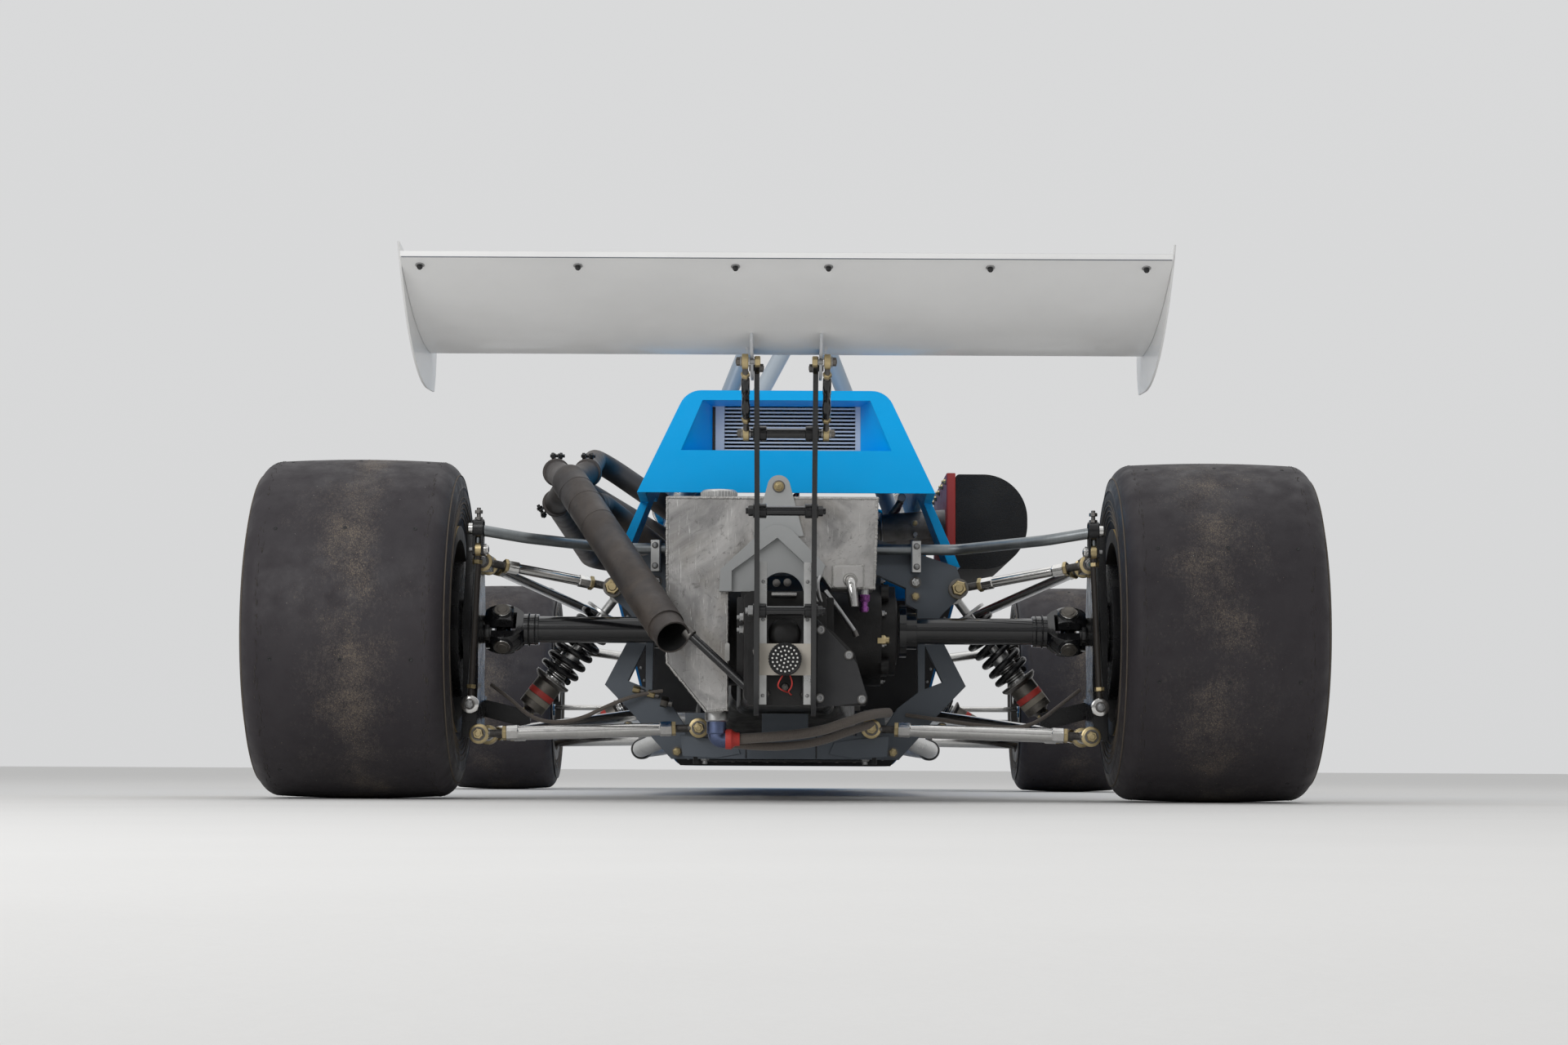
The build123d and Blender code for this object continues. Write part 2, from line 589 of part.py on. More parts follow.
def rod(outer, inner, radius):
    """A radius rod whose forward end is a block bolted to the tub's rear wall."""
    foot = Pos(*(inner - Vector(0, 13, 0))) * Box(36, 26, 36)
    whole = link(outer, inner, radius, True) + foot
    whole -= Pos(*(inner + Vector(0, 50, 0))) * Box(200, 100, 200)
    return max(whole.solids(), key=lambda s: s.volume)


# Dampers, springs and anti-roll bar

Damper = namedtuple("Damper", "top low body_radius spring_radius spring_from spring_to wire")
REAR_DAMPER = Damper(at(DAMPER_TOP[0], DAMPER_FORWARD, DAMPER_TOP[1]),
                     at(DAMPER_LOW[0], DAMPER_FORWARD, DAMPER_LOW[1]), 24, 37, 0.16, 0.68, 6)
FRONT_DAMPER = Damper(at(width_at(TUB, WHEELBASE) + FRONT_DAMPER_OUT, WHEELBASE, FRONT_DAMPER_TOP_Z),
                      at(FRONT_DAMPER_X, WHEELBASE, FRONT_DAMPER_LOW_Z), 20, 31, 0.16, 0.70, 5)
COILS = 6


def damper(d):
    """A damper with its spring seats and an eye at each end."""
    span = d.low - d.top
    unit = span.normalized()
    seat_top = d.top + span * d.spring_from
    seat_low = d.top + span * d.spring_to
    whole = bar(d.top, d.low, 8)
    whole += bar(seat_low, d.low - unit * 24, d.body_radius)
    whole += bar(seat_top - unit * 5, seat_top, d.spring_radius - 3)
    whole += bar(seat_low, seat_low + unit * 5, d.spring_radius - 3)
    for end in (d.top, d.low):
        whole += disc(end, (0, 1, 0), 14, 18)
    for end in (d.top, d.low):
        whole -= disc(end, (0, 1, 0), PIN_RADIUS + SEAT_GAP, 60)
    return max(whole.solids(), key=lambda s: s.volume)


def spring(d):
    """The coil, drawn as rings on a thin sleeve around the damper's rod."""
    span = d.low - d.top
    start = d.top + span * d.spring_from
    length = span.length * (d.spring_to - d.spring_from)
    plane = Plane(origin=start + span.normalized() * SEAT_GAP, z_dir=span)
    pitch = (length - 2 * SEAT_GAP) / COILS
    points = [(d.spring_radius - 2 * d.wire, 0)]
    for turn in range(COILS):
        foot = turn * pitch
        points += [(d.spring_radius - d.wire, foot), (d.spring_radius, foot + 0.25 * pitch),
                   (d.spring_radius, foot + 0.45 * pitch), (d.spring_radius - d.wire, foot + 0.7 * pitch)]
    points += [(d.spring_radius - d.wire, COILS * pitch), (d.spring_radius - 2 * d.wire, COILS * pitch)]
    profile = Plane.XZ * Polygon(*points, align=None)
    return plane * revolve(profile, axis=Axis.Z)


def antiroll_bar():
    """The rear bar with its two drop links to the uprights."""
    path = [at(-DROP_X, -110, 463), at(-450, -75, 450), at(-300, 35, 440),
            at(300, 35, 440), at(450, -75, 450), at(DROP_X, -110, 463)]
    whole = tube_path(path, [90, 60, 60, 90], ARB_RADIUS)
    for side in (-1, 1):
        top = at(side * (DROP_X - 11), -110, 463)
        whole += bar(top, at(side * DROP_X, -110, DROP_Z + 18), 5.5)
        whole += ring(at(side * DROP_X, -110, DROP_Z), (0, 1, 0), 15, 6 + SEAT_GAP, 12)
        whole += disc(top, (1, 0, 0), 16, 16)
    return max(whole.solids(), key=lambda s: s.volume)


# Wheels

def tyre(centre_x, axle, wheel):
    """A slick tyre, turned about the axle."""
    half = wheel.tyre_width / 2
    bead = wheel.rim_width / 2 - SEAT_GAP
    inner = BEAD_RADIUS + SEAT_GAP
    radius = wheel.tyre_radius
    tread = wheel.tread_width / 2
    mid = (inner + radius) / 2 + 4
    side = [(bead, inner), (bead, BEAD_RADIUS + RIM_FLANGE + 3), (half, mid), (half - 4, radius - 32),
            (tread, radius - 4)]
    outline = side + [(0, radius)] + [(-x, r) for x, r in reversed(side)]
    outline += [(-bead + 14, inner), (-half + 16, mid), (-half + 18, radius - 40), (0, radius - 14),
                (half - 18, radius - 40), (half - 16, mid), (bead - 14, inner)]
    plane = Plane(origin=at(centre_x, axle, radius), x_dir=(1, 0, 0), z_dir=(0, -1, 0))
    profile = plane * Polygon(*outline, align=None)
    return revolve(profile, axis=Axis(at(centre_x, axle, radius), (1, 0, 0)))


def rim(centre_x, axle, wheel, outward):
    """A spoked wheel with its barrel, flanges and hub."""
    z = wheel.tyre_radius
    seat = wheel.rim_width / 2
    edge = seat + RIM_WALL
    inner = BEAD_RADIUS - RIM_WALL
    outline = [(-edge, BEAD_RADIUS + RIM_FLANGE), (-seat, BEAD_RADIUS + RIM_FLANGE), (-seat, BEAD_RADIUS),
               (seat, BEAD_RADIUS), (seat, BEAD_RADIUS + RIM_FLANGE), (edge, BEAD_RADIUS + RIM_FLANGE),
               (edge, inner), (-edge, inner)]
    plane = Plane(origin=at(centre_x, axle, z), x_dir=(1, 0, 0), z_dir=(0, -1, 0))
    whole = revolve(plane * Polygon(*outline, align=None), axis=Axis(at(centre_x, axle, z), (1, 0, 0)))
    web = abs(centre_x) + wheel.hub_offset
    face = Plane(origin=at(outward * web, axle, z), x_dir=(0, 1, 0), z_dir=(outward, 0, 0))
    centre = Circle(62)
    spoke = Polygon((40, -22), (inner + 3, -13), (inner + 3, 13), (40, 22), align=None)
    for turn in range(SPOKES):
        centre += Rot(0, 0, 360 / SPOKES * turn) * spoke
    stub = REAR_STUB if axle == 0 else FRONT_STUB
    centre -= Circle(stub + SEAT_GAP)
    return whole + extrude(face * centre, WEB_THICKNESS)


SHAFT_RADIUS = 23
SHAFT_INNER = 198
COVER_X = 190
JOINT_X = UPRIGHT_X[0] - 38
JOINT_ARM = 34
JOINT_BALL = 46
JOINT_FACE = 30
JOINT_EAR = 19
JOINT_TURN = 45


def half_shaft():
    """The right driveshaft with its outer joint, stub axle and brake disc, all turning with the wheel."""
    z = REAR_WHEEL.tyre_radius
    whole = hub(REAR_TRACK / 2, 0, REAR_WHEEL, REAR_STUB, JOINT_X + 18)
    whole += universal_joint(JOINT_X)
    whole += bar(at(SHAFT_INNER + 20, 0, z), at(JOINT_X - 44, 0, z), SHAFT_RADIUS)
    whole += bar(at(JOINT_X - 62, 0, z), at(JOINT_X - 36, 0, z), SHAFT_RADIUS + 4)
    whole += bar(at(SHAFT_INNER, 0, z), at(SHAFT_INNER + 12, 0, z), 46)
    return whole + bar(at(SHAFT_INNER + 10, 0, z), at(SHAFT_INNER + 30, 0, z), 32)


def universal_joint(x):
    """Two forks about one cross, turned so that two of its four caps face the tail."""
    z = REAR_WHEEL.tyre_radius
    ball = Pos(*at(x, 0, z)) * Sphere(JOINT_BALL)
    slot, cheek = JOINT_ARM - 11, JOINT_EAR
    inner = ball & block((x - JOINT_BALL, x + cheek), (-JOINT_BALL, JOINT_BALL), (z - cheek, z + cheek))
    inner -= block((x - slot, x + JOINT_BALL), (-slot, slot), (z - JOINT_BALL, z + JOINT_BALL))
    outer = ball & block((x - cheek, x + JOINT_FACE), (-cheek, cheek), (z - JOINT_BALL, z + JOINT_BALL))
    outer -= block((x - JOINT_BALL, x + slot), (-JOINT_BALL, JOINT_BALL), (z - slot, z + slot))
    whole = inner + outer
    reach = JOINT_BALL + 1
    whole += bar(at(x, -reach, z), at(x, reach, z), 13)
    whole += bar(at(x, 0, z - reach), at(x, 0, z + reach), 13)
    whole += bar(at(x + slot, 0, z), at(x + JOINT_FACE, 0, z), REAR_STUB + 9)
    return whole.rotate(Axis(at(0, 0, z), (1, 0, 0)), JOINT_TURN)


# Engine, gearbox and what hangs on them

ENGINE = (340, 860)
PORTS = (400, 530, 660, 790)
PORT_Z = 480
INTAKE_PORT_Z = 515
HEAD_HALF = 118


def engine():
    """Block, sump, head and twin cam covers, with the plate that bolts to the tub."""
    low = block((-112, 112), ENGINE, (90, 372))
    sump = block((-95, 95), (ENGINE[0] + 20, ENGINE[1] - 20), (68, 92))
    head = block((-HEAD_HALF, HEAD_HALF), ENGINE, (370, 500))
    whole = low + sump + head
    for x in (-66, 66):
        cover = block((x - 46, x + 46), (ENGINE[0] + 6, ENGINE[1] - 6), (498, 540))
        whole += fillet(cover.edges().filter_by(Axis.Y).group_by(Axis.Z)[-1], 22)
    plate = block((-150, 150), (ENGINE[1] - 1, TUB[0].forward - SEAT_GAP), (90, 370))
    belt = block((-90, 90), (ENGINE[1] - 10, ENGINE[1] + 28), (330, 520))
    return whole + plate + belt


FILTER_X = (299, 447)
FILTER_PLATE = 14
FILTER_SPAN = (330, 850)
FILTER_Z = (425, 601)


def throttle_bodies():
    """Four side draught bodies on the head and the plate that carries the filter."""
    plate_x = FILTER_X[0]
    whole = block((plate_x, plate_x + FILTER_PLATE), FILTER_SPAN, FILTER_Z)
    for forward in PORTS:
        inner = at(HEAD_HALF + SEAT_GAP, forward, INTAKE_PORT_Z - 30)
        middle = at(HEAD_HALF + 60, forward, INTAKE_PORT_Z - 10)
        whole += bar(inner, inner + Vector(10, 0, 0), 32)
        whole += bar(inner, middle, 24) + bar(middle, at(plate_x + 4, forward, INTAKE_PORT_Z), 26)
        trimmed = block((HEAD_HALF - 60, HEAD_HALF + SEAT_GAP), (forward - 60, forward + 60), (400, 560))
        whole -= trimmed
    return max(whole.solids(), key=lambda s: s.volume)


def air_filter():
    """The foam sock over the intake plate."""
    body = block((FILTER_X[0] + FILTER_PLATE + SEAT_GAP, FILTER_X[1]), FILTER_SPAN, FILTER_Z)
    body = fillet(body.edges().filter_by(Axis.Y).group_by(Axis.X)[-1], 82)
    return fillet(body.edges().filter_by(Axis.Y).group_by(Axis.X)[0], 8)


PRIMARY = 21
RING_FORWARD = 96
RING_PLACES = [(-409, 524), (-409, 579), (-346, 524), (-354, 579)]
TAIL_START = at(-377, -30, 551)
TAIL_END = at(-180, -460, 264)
TAIL_RADIUS = 31
TAIL_LIP = 34


def exhaust():
    """Four primaries on the left, the merge of their ends and the tailpipe."""
    start_x = -HEAD_HALF - SEAT_GAP
    rings = [at(x, RING_FORWARD, z) for x, z in RING_PLACES]
    ports = [
        [at(start_x, PORTS[3], PORT_Z), at(-190, PORTS[3], 458), at(-385, PORTS[3], 467), rings[0]],
        [at(start_x, PORTS[2], PORT_Z), at(-185, PORTS[2], 470), at(-398, PORTS[2], 597), rings[1]],
        [at(start_x, PORTS[1], PORT_Z), at(-215, PORTS[1], 450), at(-350, PORTS[1], 558), rings[2]],
        [at(start_x, PORTS[0], PORT_Z), at(-150, PORTS[0], 492), at(-358, PORTS[0], 634), rings[3]],
    ]
    radii = [[50, 75], [40, 60], [50, 55], [32, 55]]
    pipes = [tube_path(path, turn, PRIMARY) for path, turn in zip(ports, radii)]
    unit = (TAIL_END - TAIL_START).normalized()
    whole = bar(TAIL_START, TAIL_END - unit * TAIL_LIP, TAIL_RADIUS)
    whole += bar(TAIL_START + unit * 60, TAIL_END, TAIL_RADIUS - 2.5)
    whole += Pos(*TAIL_START) * Sphere(TAIL_RADIUS)
    for place in rings:
        whole += bar(place, TAIL_START, PRIMARY + 1)
    for place in rings:
        whole += bar(place + Vector(0, 10, 0), place - Vector(0, 10, 0), PRIMARY + 2.5)
    for pipe in pipes:
        whole += pipe
    for forward in PORTS:
        whole += bar(at(start_x, forward, PORT_Z), at(start_x - 8, forward, PORT_Z), 30)
    whole -= block((start_x, start_x + 60), (PORTS[0] - 60, PORTS[3] + 60), (PORT_Z - 60, PORT_Z + 60))
    return whole - bar(TAIL_END - unit * 160, TAIL_END + unit, TAIL_RADIUS - 5)


TAIL_CASE = Section(-480, 66, 66, 160, 338)
SADDLE_CASE = Section(-300, 70, 70, 156, 345)
SADDLE_TOP = 347
LID = [(-60, 290), (49, 294), (78, 271), (110, 239), (132, 163), (127, 155), (-60, 155)]


def gearbox():
    """Bell housing, differential case, side covers and tail case."""
    bell = body_loft([Section(60, 96, 92, 170, 390), Section(ENGINE[0] - SEAT_GAP, 130, 120, 95, 378)],
                     low_round=20, high_round=30)
    case = body_loft([TAIL_CASE, SADDLE_CASE, Section(70, 86, 86, 150, 372)], low_round=14, high_round=14)
    z = REAR_WHEEL.tyre_radius
    final = bar(at(-165, 0, z), at(165, 0, z), 96)
    covers = bar(at(-COVER_X, 0, z), at(COVER_X, 0, z), 78)
    whole = bell + case + final + covers
    for x in (-178, 164):
        for angle in range(45, 360, 90):
            away = 90
            y, up = away * math.cos(math.radians(angle)), away * math.sin(math.radians(angle))
            whole += bar(at(x, y, z + up), at(x + 14, y, z + up), 14)
    whole += across(LID, TAIL_CASE.forward, 20)
    whole += block((-22, 18), (-512, TAIL_CASE.forward), (327, 336))
    bracket = TANK_FORWARD[0] - SEAT_GAP
    return whole + block((-74, 56), (bracket - BRACKET_DEPTH, bracket), (330, SADDLE_TOP - SEAT_GAP))


TANK_FORWARD = (-285, -130)
TANK = [(-199, 506), (153, 506), (148, 354), (76, 356), (62, 374), (-15, 446), (-97, 380), (-97, 152),
        (-131, 149), (-197, 229)]


def oil_tank():
    """A welded sheet tank that straddles the gearbox, with its filler cap."""
    body = across(TANK, TANK_FORWARD[1], TANK_FORWARD[1] - TANK_FORWARD[0])
    body = fillet(body.edges().filter_by(Axis.Y), 5)
    cap = bar(at(-113, -205, 505), at(-113, -205, 522), 27)
    outlet = bar(at(-115, -200, 150.5), at(-115, -200, 118), 15)
    return body + cap + outlet


BRACKET_DEPTH = 16
ARCH = [(-110, SADDLE_TOP), (-108, 383), (-36, 451), (-22, 457), (-6, 457), (8, 451), (66, 391), (58, 368),
        (46, 377), (27, 398), (-14, 436), (-89, 381), (-89, SADDLE_TOP)]
WEB = [(-92, SADDLE_TOP), (-92, 383), (-14, 440), (28, 401), (52, 376), (52, SADDLE_TOP)]
WEB_HOLE = (-6, 343, 36)
TONGUE_BOLT = (-12, 522)


def tank_bracket():
    """The arch over the tail case: a deep flange, a thin web with a round gap and a tongue up the tank."""
    rear = TANK_FORWARD[0] - SEAT_GAP
    x, z, radius = WEB_HOLE
    whole = across(ARCH, rear, BRACKET_DEPTH) + across(WEB, rear, 5)
    whole -= disc(at(x, rear, z), (0, 1, 0), radius, 60)
    x, z = TONGUE_BOLT
    tongue = [(x - 42, 440), (x - 19, z + 2), (x + 19, z + 2), (x + 42, 440), (x + 8, 436), (x - 8, 436)]
    whole += across(tongue, rear, 6)
    return whole + bar(at(x, rear, z), at(x, rear - 6, z), 19)


POST_X = 41
POST_THICK = 8
POST_OUTLINE = [(-502, 138), (-502, 380), (-560, 520), (-692, 682), (-735, 682), (-735, 655), (-620, 500),
                (-562, 380), (-562, 138)]
POST_TIES = [(-545, 303), (-570, 459), (-640, 574)]
POST_PIVOT = (-714, 667)


def wing_posts():
    """Two cranked plates behind the gearbox, tied by spacers."""
    whole = along(POST_OUTLINE, POST_X, POST_THICK) + along(POST_OUTLINE, -POST_X - POST_THICK, POST_THICK)
    for forward, z in POST_TIES:
        whole += bar(at(-POST_X, forward, z), at(POST_X, forward, z), 7.5)
    whole += bar(at(-POST_X - 24, *POST_TIES[2]), at(POST_X + 24, *POST_TIES[2]), 5)
    for x in (-POST_X - 16, POST_X + POST_THICK):
        whole += bar(at(x, *POST_PIVOT), at(x + 8, *POST_PIVOT), 5)
    feet = [block((side * 38 - 11, side * 38 + 11), (-512, -500 - SEAT_GAP), (160, 290)) for side in (-1, 1)]
    return whole + feet[0] + feet[1]


WING_HALF = 550
WING_LOW = [(-1075, 790), (-880, 716), (-690, 686)]
WING_NOSE = (-640, 706)
WING_HIGH = [(-665, 736), (-870, 752), (-1075, 796)]
PLATE_THICK = 3


def wing_profile():
    """The section of the rear wing, from four arcs and its blunt tail."""
    under = ThreePointArc(*WING_LOW)
    nose = ThreePointArc(WING_LOW[2], WING_NOSE, WING_HIGH[0])
    over = ThreePointArc(*WING_HIGH)
    tail = Line(WING_HIGH[2], WING_LOW[0])
    return make_face([under, nose, over, tail])


def rear_wing():
    """A cambered single element wing with a folded lip."""
    plane = Plane(origin=at(-WING_HALF, 0, 0), x_dir=(0, 1, 0), z_dir=(1, 0, 0))
    return extrude(plane * wing_profile(), 2 * WING_HALF)


def wing_end_plates():
    """Swept end plates, one at each tip."""
    x = WING_HALF + SEAT_GAP
    low = ThreePointArc((-1080, 800), (-960, 702), (-685, 636))
    outline = [low, Line((-685, 636), (-610, 640)), ThreePointArc((-610, 640), (-585, 700), (-600, 765)),
               Line((-600, 765), (-1080, 800))]
    plane = Plane(origin=at(x, 0, 0), x_dir=(0, 1, 0), z_dir=(1, 0, 0))
    return solids_of(both(extrude(plane * make_face(outline), PLATE_THICK)))


def wing_adjusters():
    """The wing's two rib plates and the screwed links that set its angle."""
    x, link_x = POST_X + POST_THICK + 1, POST_X + POST_THICK + 13
    rib = along([(-680, 652), (-680, 720), (-880, 760), (-880, 712), (-760, 652)], x, 5)
    rib = rib - rear_wing() - Pos(0, 0, -SEAT_GAP) * rear_wing()
    rib = min(rib.solids(), key=lambda s: s.center().Z)
    rib -= disc(at(x, *POST_PIVOT), (1, 0, 0), 5 + SEAT_GAP, 30)
    top = at(link_x, -800, 684)
    low = at(link_x, *POST_TIES[2])
    screw = bar(top, low, 4.4) + bar(top + (low - top) * 0.25, top + (low - top) * 0.72, 9)
    screw += disc(top, (1, 0, 0), 12, 10) + disc(low, (1, 0, 0), 12, 10)
    screw -= disc(low, (1, 0, 0), 5 + SEAT_GAP, 30)
    screw += bar(top - Vector(10, 0, 0), top, 5)
    return solids_of(both(max((screw + rib).solids(), key=lambda s: s.volume)))


STRIP_WIDTH = 11.5
STRIP_FORWARD = (-529, -513)


def light_bracket():
    """Two upright strips and the plate that carries the rain light."""
    near, far = POST_X - SEAT_GAP - STRIP_WIDTH, POST_X - SEAT_GAP
    strips = [block((low, low + STRIP_WIDTH), STRIP_FORWARD, (156, 381)) for low in (-far, near)]
    plate = block((-far, far), (STRIP_FORWARD[0] - 3, STRIP_FORWARD[0]), (202, 252))
    return strips[0] + strips[1] + plate


def rain_light():
    """A round lamp with a domed lens."""
    z = 227
    back = STRIP_FORWARD[0] - 3 - SEAT_GAP
    body = bar(at(0, back, z), at(0, back - 23, z), 26)
    return fillet(body.faces().sort_by(Axis.Y)[0].edges(), 5)


COVER = [
    Section(-100, 318, 172, 400, 705),
    Section(925, 310, 178, 400, 800),
]
COVER_HEM = 550
PIPE_NOTCH = 606
COVER_TAIL_Z = 528
COVER_SKIRT = 104
DUCT_OUTER = (186, 148, 598, 691)
DUCT_DEPTH = 70
COOLER = (132, 602, 688)


def engine_cover():
    """The tapered cover, open below, at its front and round the engine, with a duct at the tail."""
    deck = COVER[0].z_low + SEAT_GAP
    outer = body_loft(COVER, low_round=2, high_round=40)
    inner_sections = [s._replace(forward=f) for s, f in zip(COVER, (-100 + SHELL, 925))]
    inner = body_loft(inner_sections, inset=SHELL, drop=40, low_round=2, high_round=36)
    whole = outer - inner
    whole -= block((-400, 400), (-200, 1000), (300, deck))
    whole -= block((-400, 400), (260, 860), (300, COVER_HEM))
    whole -= block((-400, -150), (PORTS[0] - 38, PORTS[0] + 38), (300, PIPE_NOTCH))
    whole -= block((-400, 400), (-200, COVER_SKIRT), (300, COVER_TAIL_Z))
    whole -= block((-400, 400), (COVER_SKIRT - 1, 300), (300, 414))
    low, high, z0, z1 = DUCT_OUTER
    mouth = [(-low, z0), (low, z0), (high, z1), (-high, z1)]
    half, c0, c1 = COOLER
    throat = [(-half, c0), (half, c0), (half, c1), (-half, c1)]
    duct_out = duct_loft(mouth, throat, 0)
    duct_in = duct_loft(mouth, throat, 3)
    whole = whole - duct_loft(mouth, throat, 3, -102) + (duct_out - duct_in)
    whole -= bar(STAY_TOP, STAY_FOOT, HOOP_RADIUS + 8)
    return max(whole.solids(), key=lambda s: s.volume)


def duct_loft(mouth, throat, wall, start=-100):
    """A four sided funnel from the tail opening in to the cooler."""
    def shrink(points):
        cx = 0
        cz = sum(z for _, z in points) / 4
        return [(x - math.copysign(wall, x - cx), z - math.copysign(wall, z - cz)) for x, z in points]

    faces = []
    for points, forward in ((mouth, start), (throat, -100 + DUCT_DEPTH)):
        plane = Plane(origin=at(0, forward, 0), x_dir=(1, 0, 0), z_dir=(0, -1, 0))
        faces.append((plane * Polygon(*shrink(points), align=None)).face())
    return loft(faces, ruled=True)


def oil_cooler():
    """A finned core between two end tanks, at the duct's throat."""
    half, z0, z1 = COOLER
    start = -100 + DUCT_DEPTH + SEAT_GAP
    core = block((-half, half), (start, start + 44), (z0, z1))
    rows = 9
    pitch = (z1 - z0) / rows
    for row in range(rows):
        z = z0 + row * pitch
        core -= block((-half + 16, half - 10), (start - 1, start + 14), (z + 0.35 * pitch, z + pitch))
    return core


def radiator(nose):
    """The water radiator that stands on the floor of the nose."""
    core = block((-128, 128), (TUB_FRONT + 140, TUB_FRONT + 180), (82, 262)) - nose
    return max(core.solids(), key=lambda s: s.volume)


FIN_ROOT = 205
FIN_SPAN = 400
FIN_REAR = WHEELBASE + 355


def front_wings():
    """A nose fin on each side with its small end plate."""
    tail, mid, lead = FIN_REAR, FIN_REAR + 105, FIN_REAR + 235
    outline = make_face([
        ThreePointArc((tail, 178), (mid, 150), (lead, 142)),
        ThreePointArc((lead, 142), (lead + 16, 152), (lead + 4, 164)),
        ThreePointArc((lead + 4, 164), (mid, 176), (tail, 184)),
        Line((tail, 184), (tail, 178)),
    ])
    plane = Plane(origin=at(FIN_ROOT - 30, 0, 0), x_dir=(0, 1, 0), z_dir=(1, 0, 0))
    fin = extrude(plane * outline, FIN_SPAN + 30)
    end = [(tail - 10, 130), (tail - 10, 210), (tail + 205, 200), (lead + 30, 150), (lead + 10, 125)]
    return fin + along(end, FIN_ROOT + FIN_SPAN, 3)


PIPE_X = 291
PIPE_RADIUS = 17


def water_pipes(tub_solid, engine_solid):
    """The pipes that run forward outside the tub, low on each side."""
    clear = 30
    dash_x = TUB[2].low + clear - 8
    front_x = width_at(TUB, WHEELBASE - 240) + clear - 8
    path = [at(100, 800, 150), at(236, 800, 150), at(246, 830, 110), at(PIPE_X, TUB_REAR - 20, 93),
            at(PIPE_X, TUB[1].forward, 95), at(dash_x, DASH_SECTION, 100),
            at(front_x, WHEELBASE - 240, 112), at(150, WHEELBASE - 150, 115)]
    pipe = tube_path(path, [20, 20, 25, 300, 300, 50], PIPE_RADIUS)
    kept = []
    for shape in both(pipe):
        cut = shape - tub_solid - engine_solid
        kept.append(max(cut.solids(), key=lambda s: s.volume))
    return kept


def mirrors():
    """A round backed mirror on a stalk, one on each side."""
    head = bar(at(262, DASH_SECTION - 90, 636), at(262, DASH_SECTION - 50, 636), 42)
    head = fillet(head.faces().sort_by(Axis.Y)[-1].edges(), 18)
    stalk = bar(at(262, DASH_SECTION - 70, 600), at(192, DASH_SECTION - 70, 488), 6)
    outer, _ = crown_skin()
    kept = max((head + stalk - outer).solids(), key=lambda s: s.volume)
    return solids_of(both(kept))


def write(name, solids):
    """One STEP file for a node, from a shape or a list of solids."""
    items = solids if isinstance(solids, list) else [solids]
    flat = solids_of(items)
    shape = flat[0] if len(flat) == 1 else Compound(children=flat)
    export_step(shape, f"parts/{name}.step")


def main():
    """Builds every piece and writes one file for each node."""
    os.makedirs("parts", exist_ok=True)
    tub_solid = tub()
    frame = rear_frame()
    engine_solid = engine()
    nose = nose_cone()
    fin = front_wings()
    fins = [max((side - body_loft(NOSE, low_round=20, high_round=20)).solids(), key=lambda s: s.volume)
            for side in both(fin)]
    nodes = {
        "monocoque": tub_solid,
        "cockpit_surround": cockpit_surround(),
        "nose_cone": nose,
        "front_wings": fins,
        "windscreen": windscreen(),
        "roll_hoop": roll_hoop(frame),
        "seat": seat(),
        "dash_panel": dash_panel(),
        "steering_wheel": steering_wheel(),
        "rack_housing": rack_housing(),
        "steering_rack": steering_rack(),
        "radiator": radiator(nose),
        "water_pipes": water_pipes(tub_solid, engine_solid),
        "mirrors": mirrors(),
        "front_wishbones": front_wishbones(tub_solid),
        "dampers": [d for spec in (REAR_DAMPER, FRONT_DAMPER) for d in both(damper(spec))],
        "springs": [s for spec in (REAR_DAMPER, FRONT_DAMPER) for s in both(spring(spec))],
        "rear_frame": frame,
        "rear_uprights": both(upright_rear()),
        "rear_links": rear_links(),
        "rear_antiroll_bar": antiroll_bar(),
        "engine": engine_solid,
        "throttle_bodies": throttle_bodies(),
        "air_filter": air_filter(),
        "exhaust": exhaust(),
        "gearbox": gearbox(),
        "oil_tank": oil_tank(),
        "tank_bracket": tank_bracket(),
        "engine_cover": engine_cover(),
        "oil_cooler": oil_cooler(),
        "wing_posts": wing_posts(),
        "wing_adjusters": wing_adjusters(),
        "rear_wing": rear_wing(),
        "wing_end_plates": wing_end_plates(),
        "light_bracket": light_bracket(),
        "rain_light": rain_light(),
    }
    front_hub = hub(FRONT_TRACK / 2, WHEELBASE, FRONT_WHEEL, FRONT_STUB, KINGPIN_X - 28)
    for name, side in (("left", -1), ("right", 1)):
        turned = (lambda shape: shape) if side > 0 else (lambda shape: mirror(shape, about=Plane.YZ))
        nodes[f"front_upright_{name}"] = turned(upright_front())
        nodes[f"front_hub_{name}"] = turned(front_hub)
        nodes[f"half_shaft_{name}"] = turned(half_shaft())
        for end, track, axle, wheel in (("front", FRONT_TRACK, WHEELBASE, FRONT_WHEEL),
                                        ("rear", REAR_TRACK, 0, REAR_WHEEL)):
            nodes[f"{end}_tyre_{name}"] = tyre(side * track / 2, axle, wheel)
            nodes[f"{end}_rim_{name}"] = rim(side * track / 2, axle, wheel, side)
    for name, shape in nodes.items():
        write(name, shape)


main()
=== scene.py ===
import math
import random

import bpy
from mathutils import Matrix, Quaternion, Vector


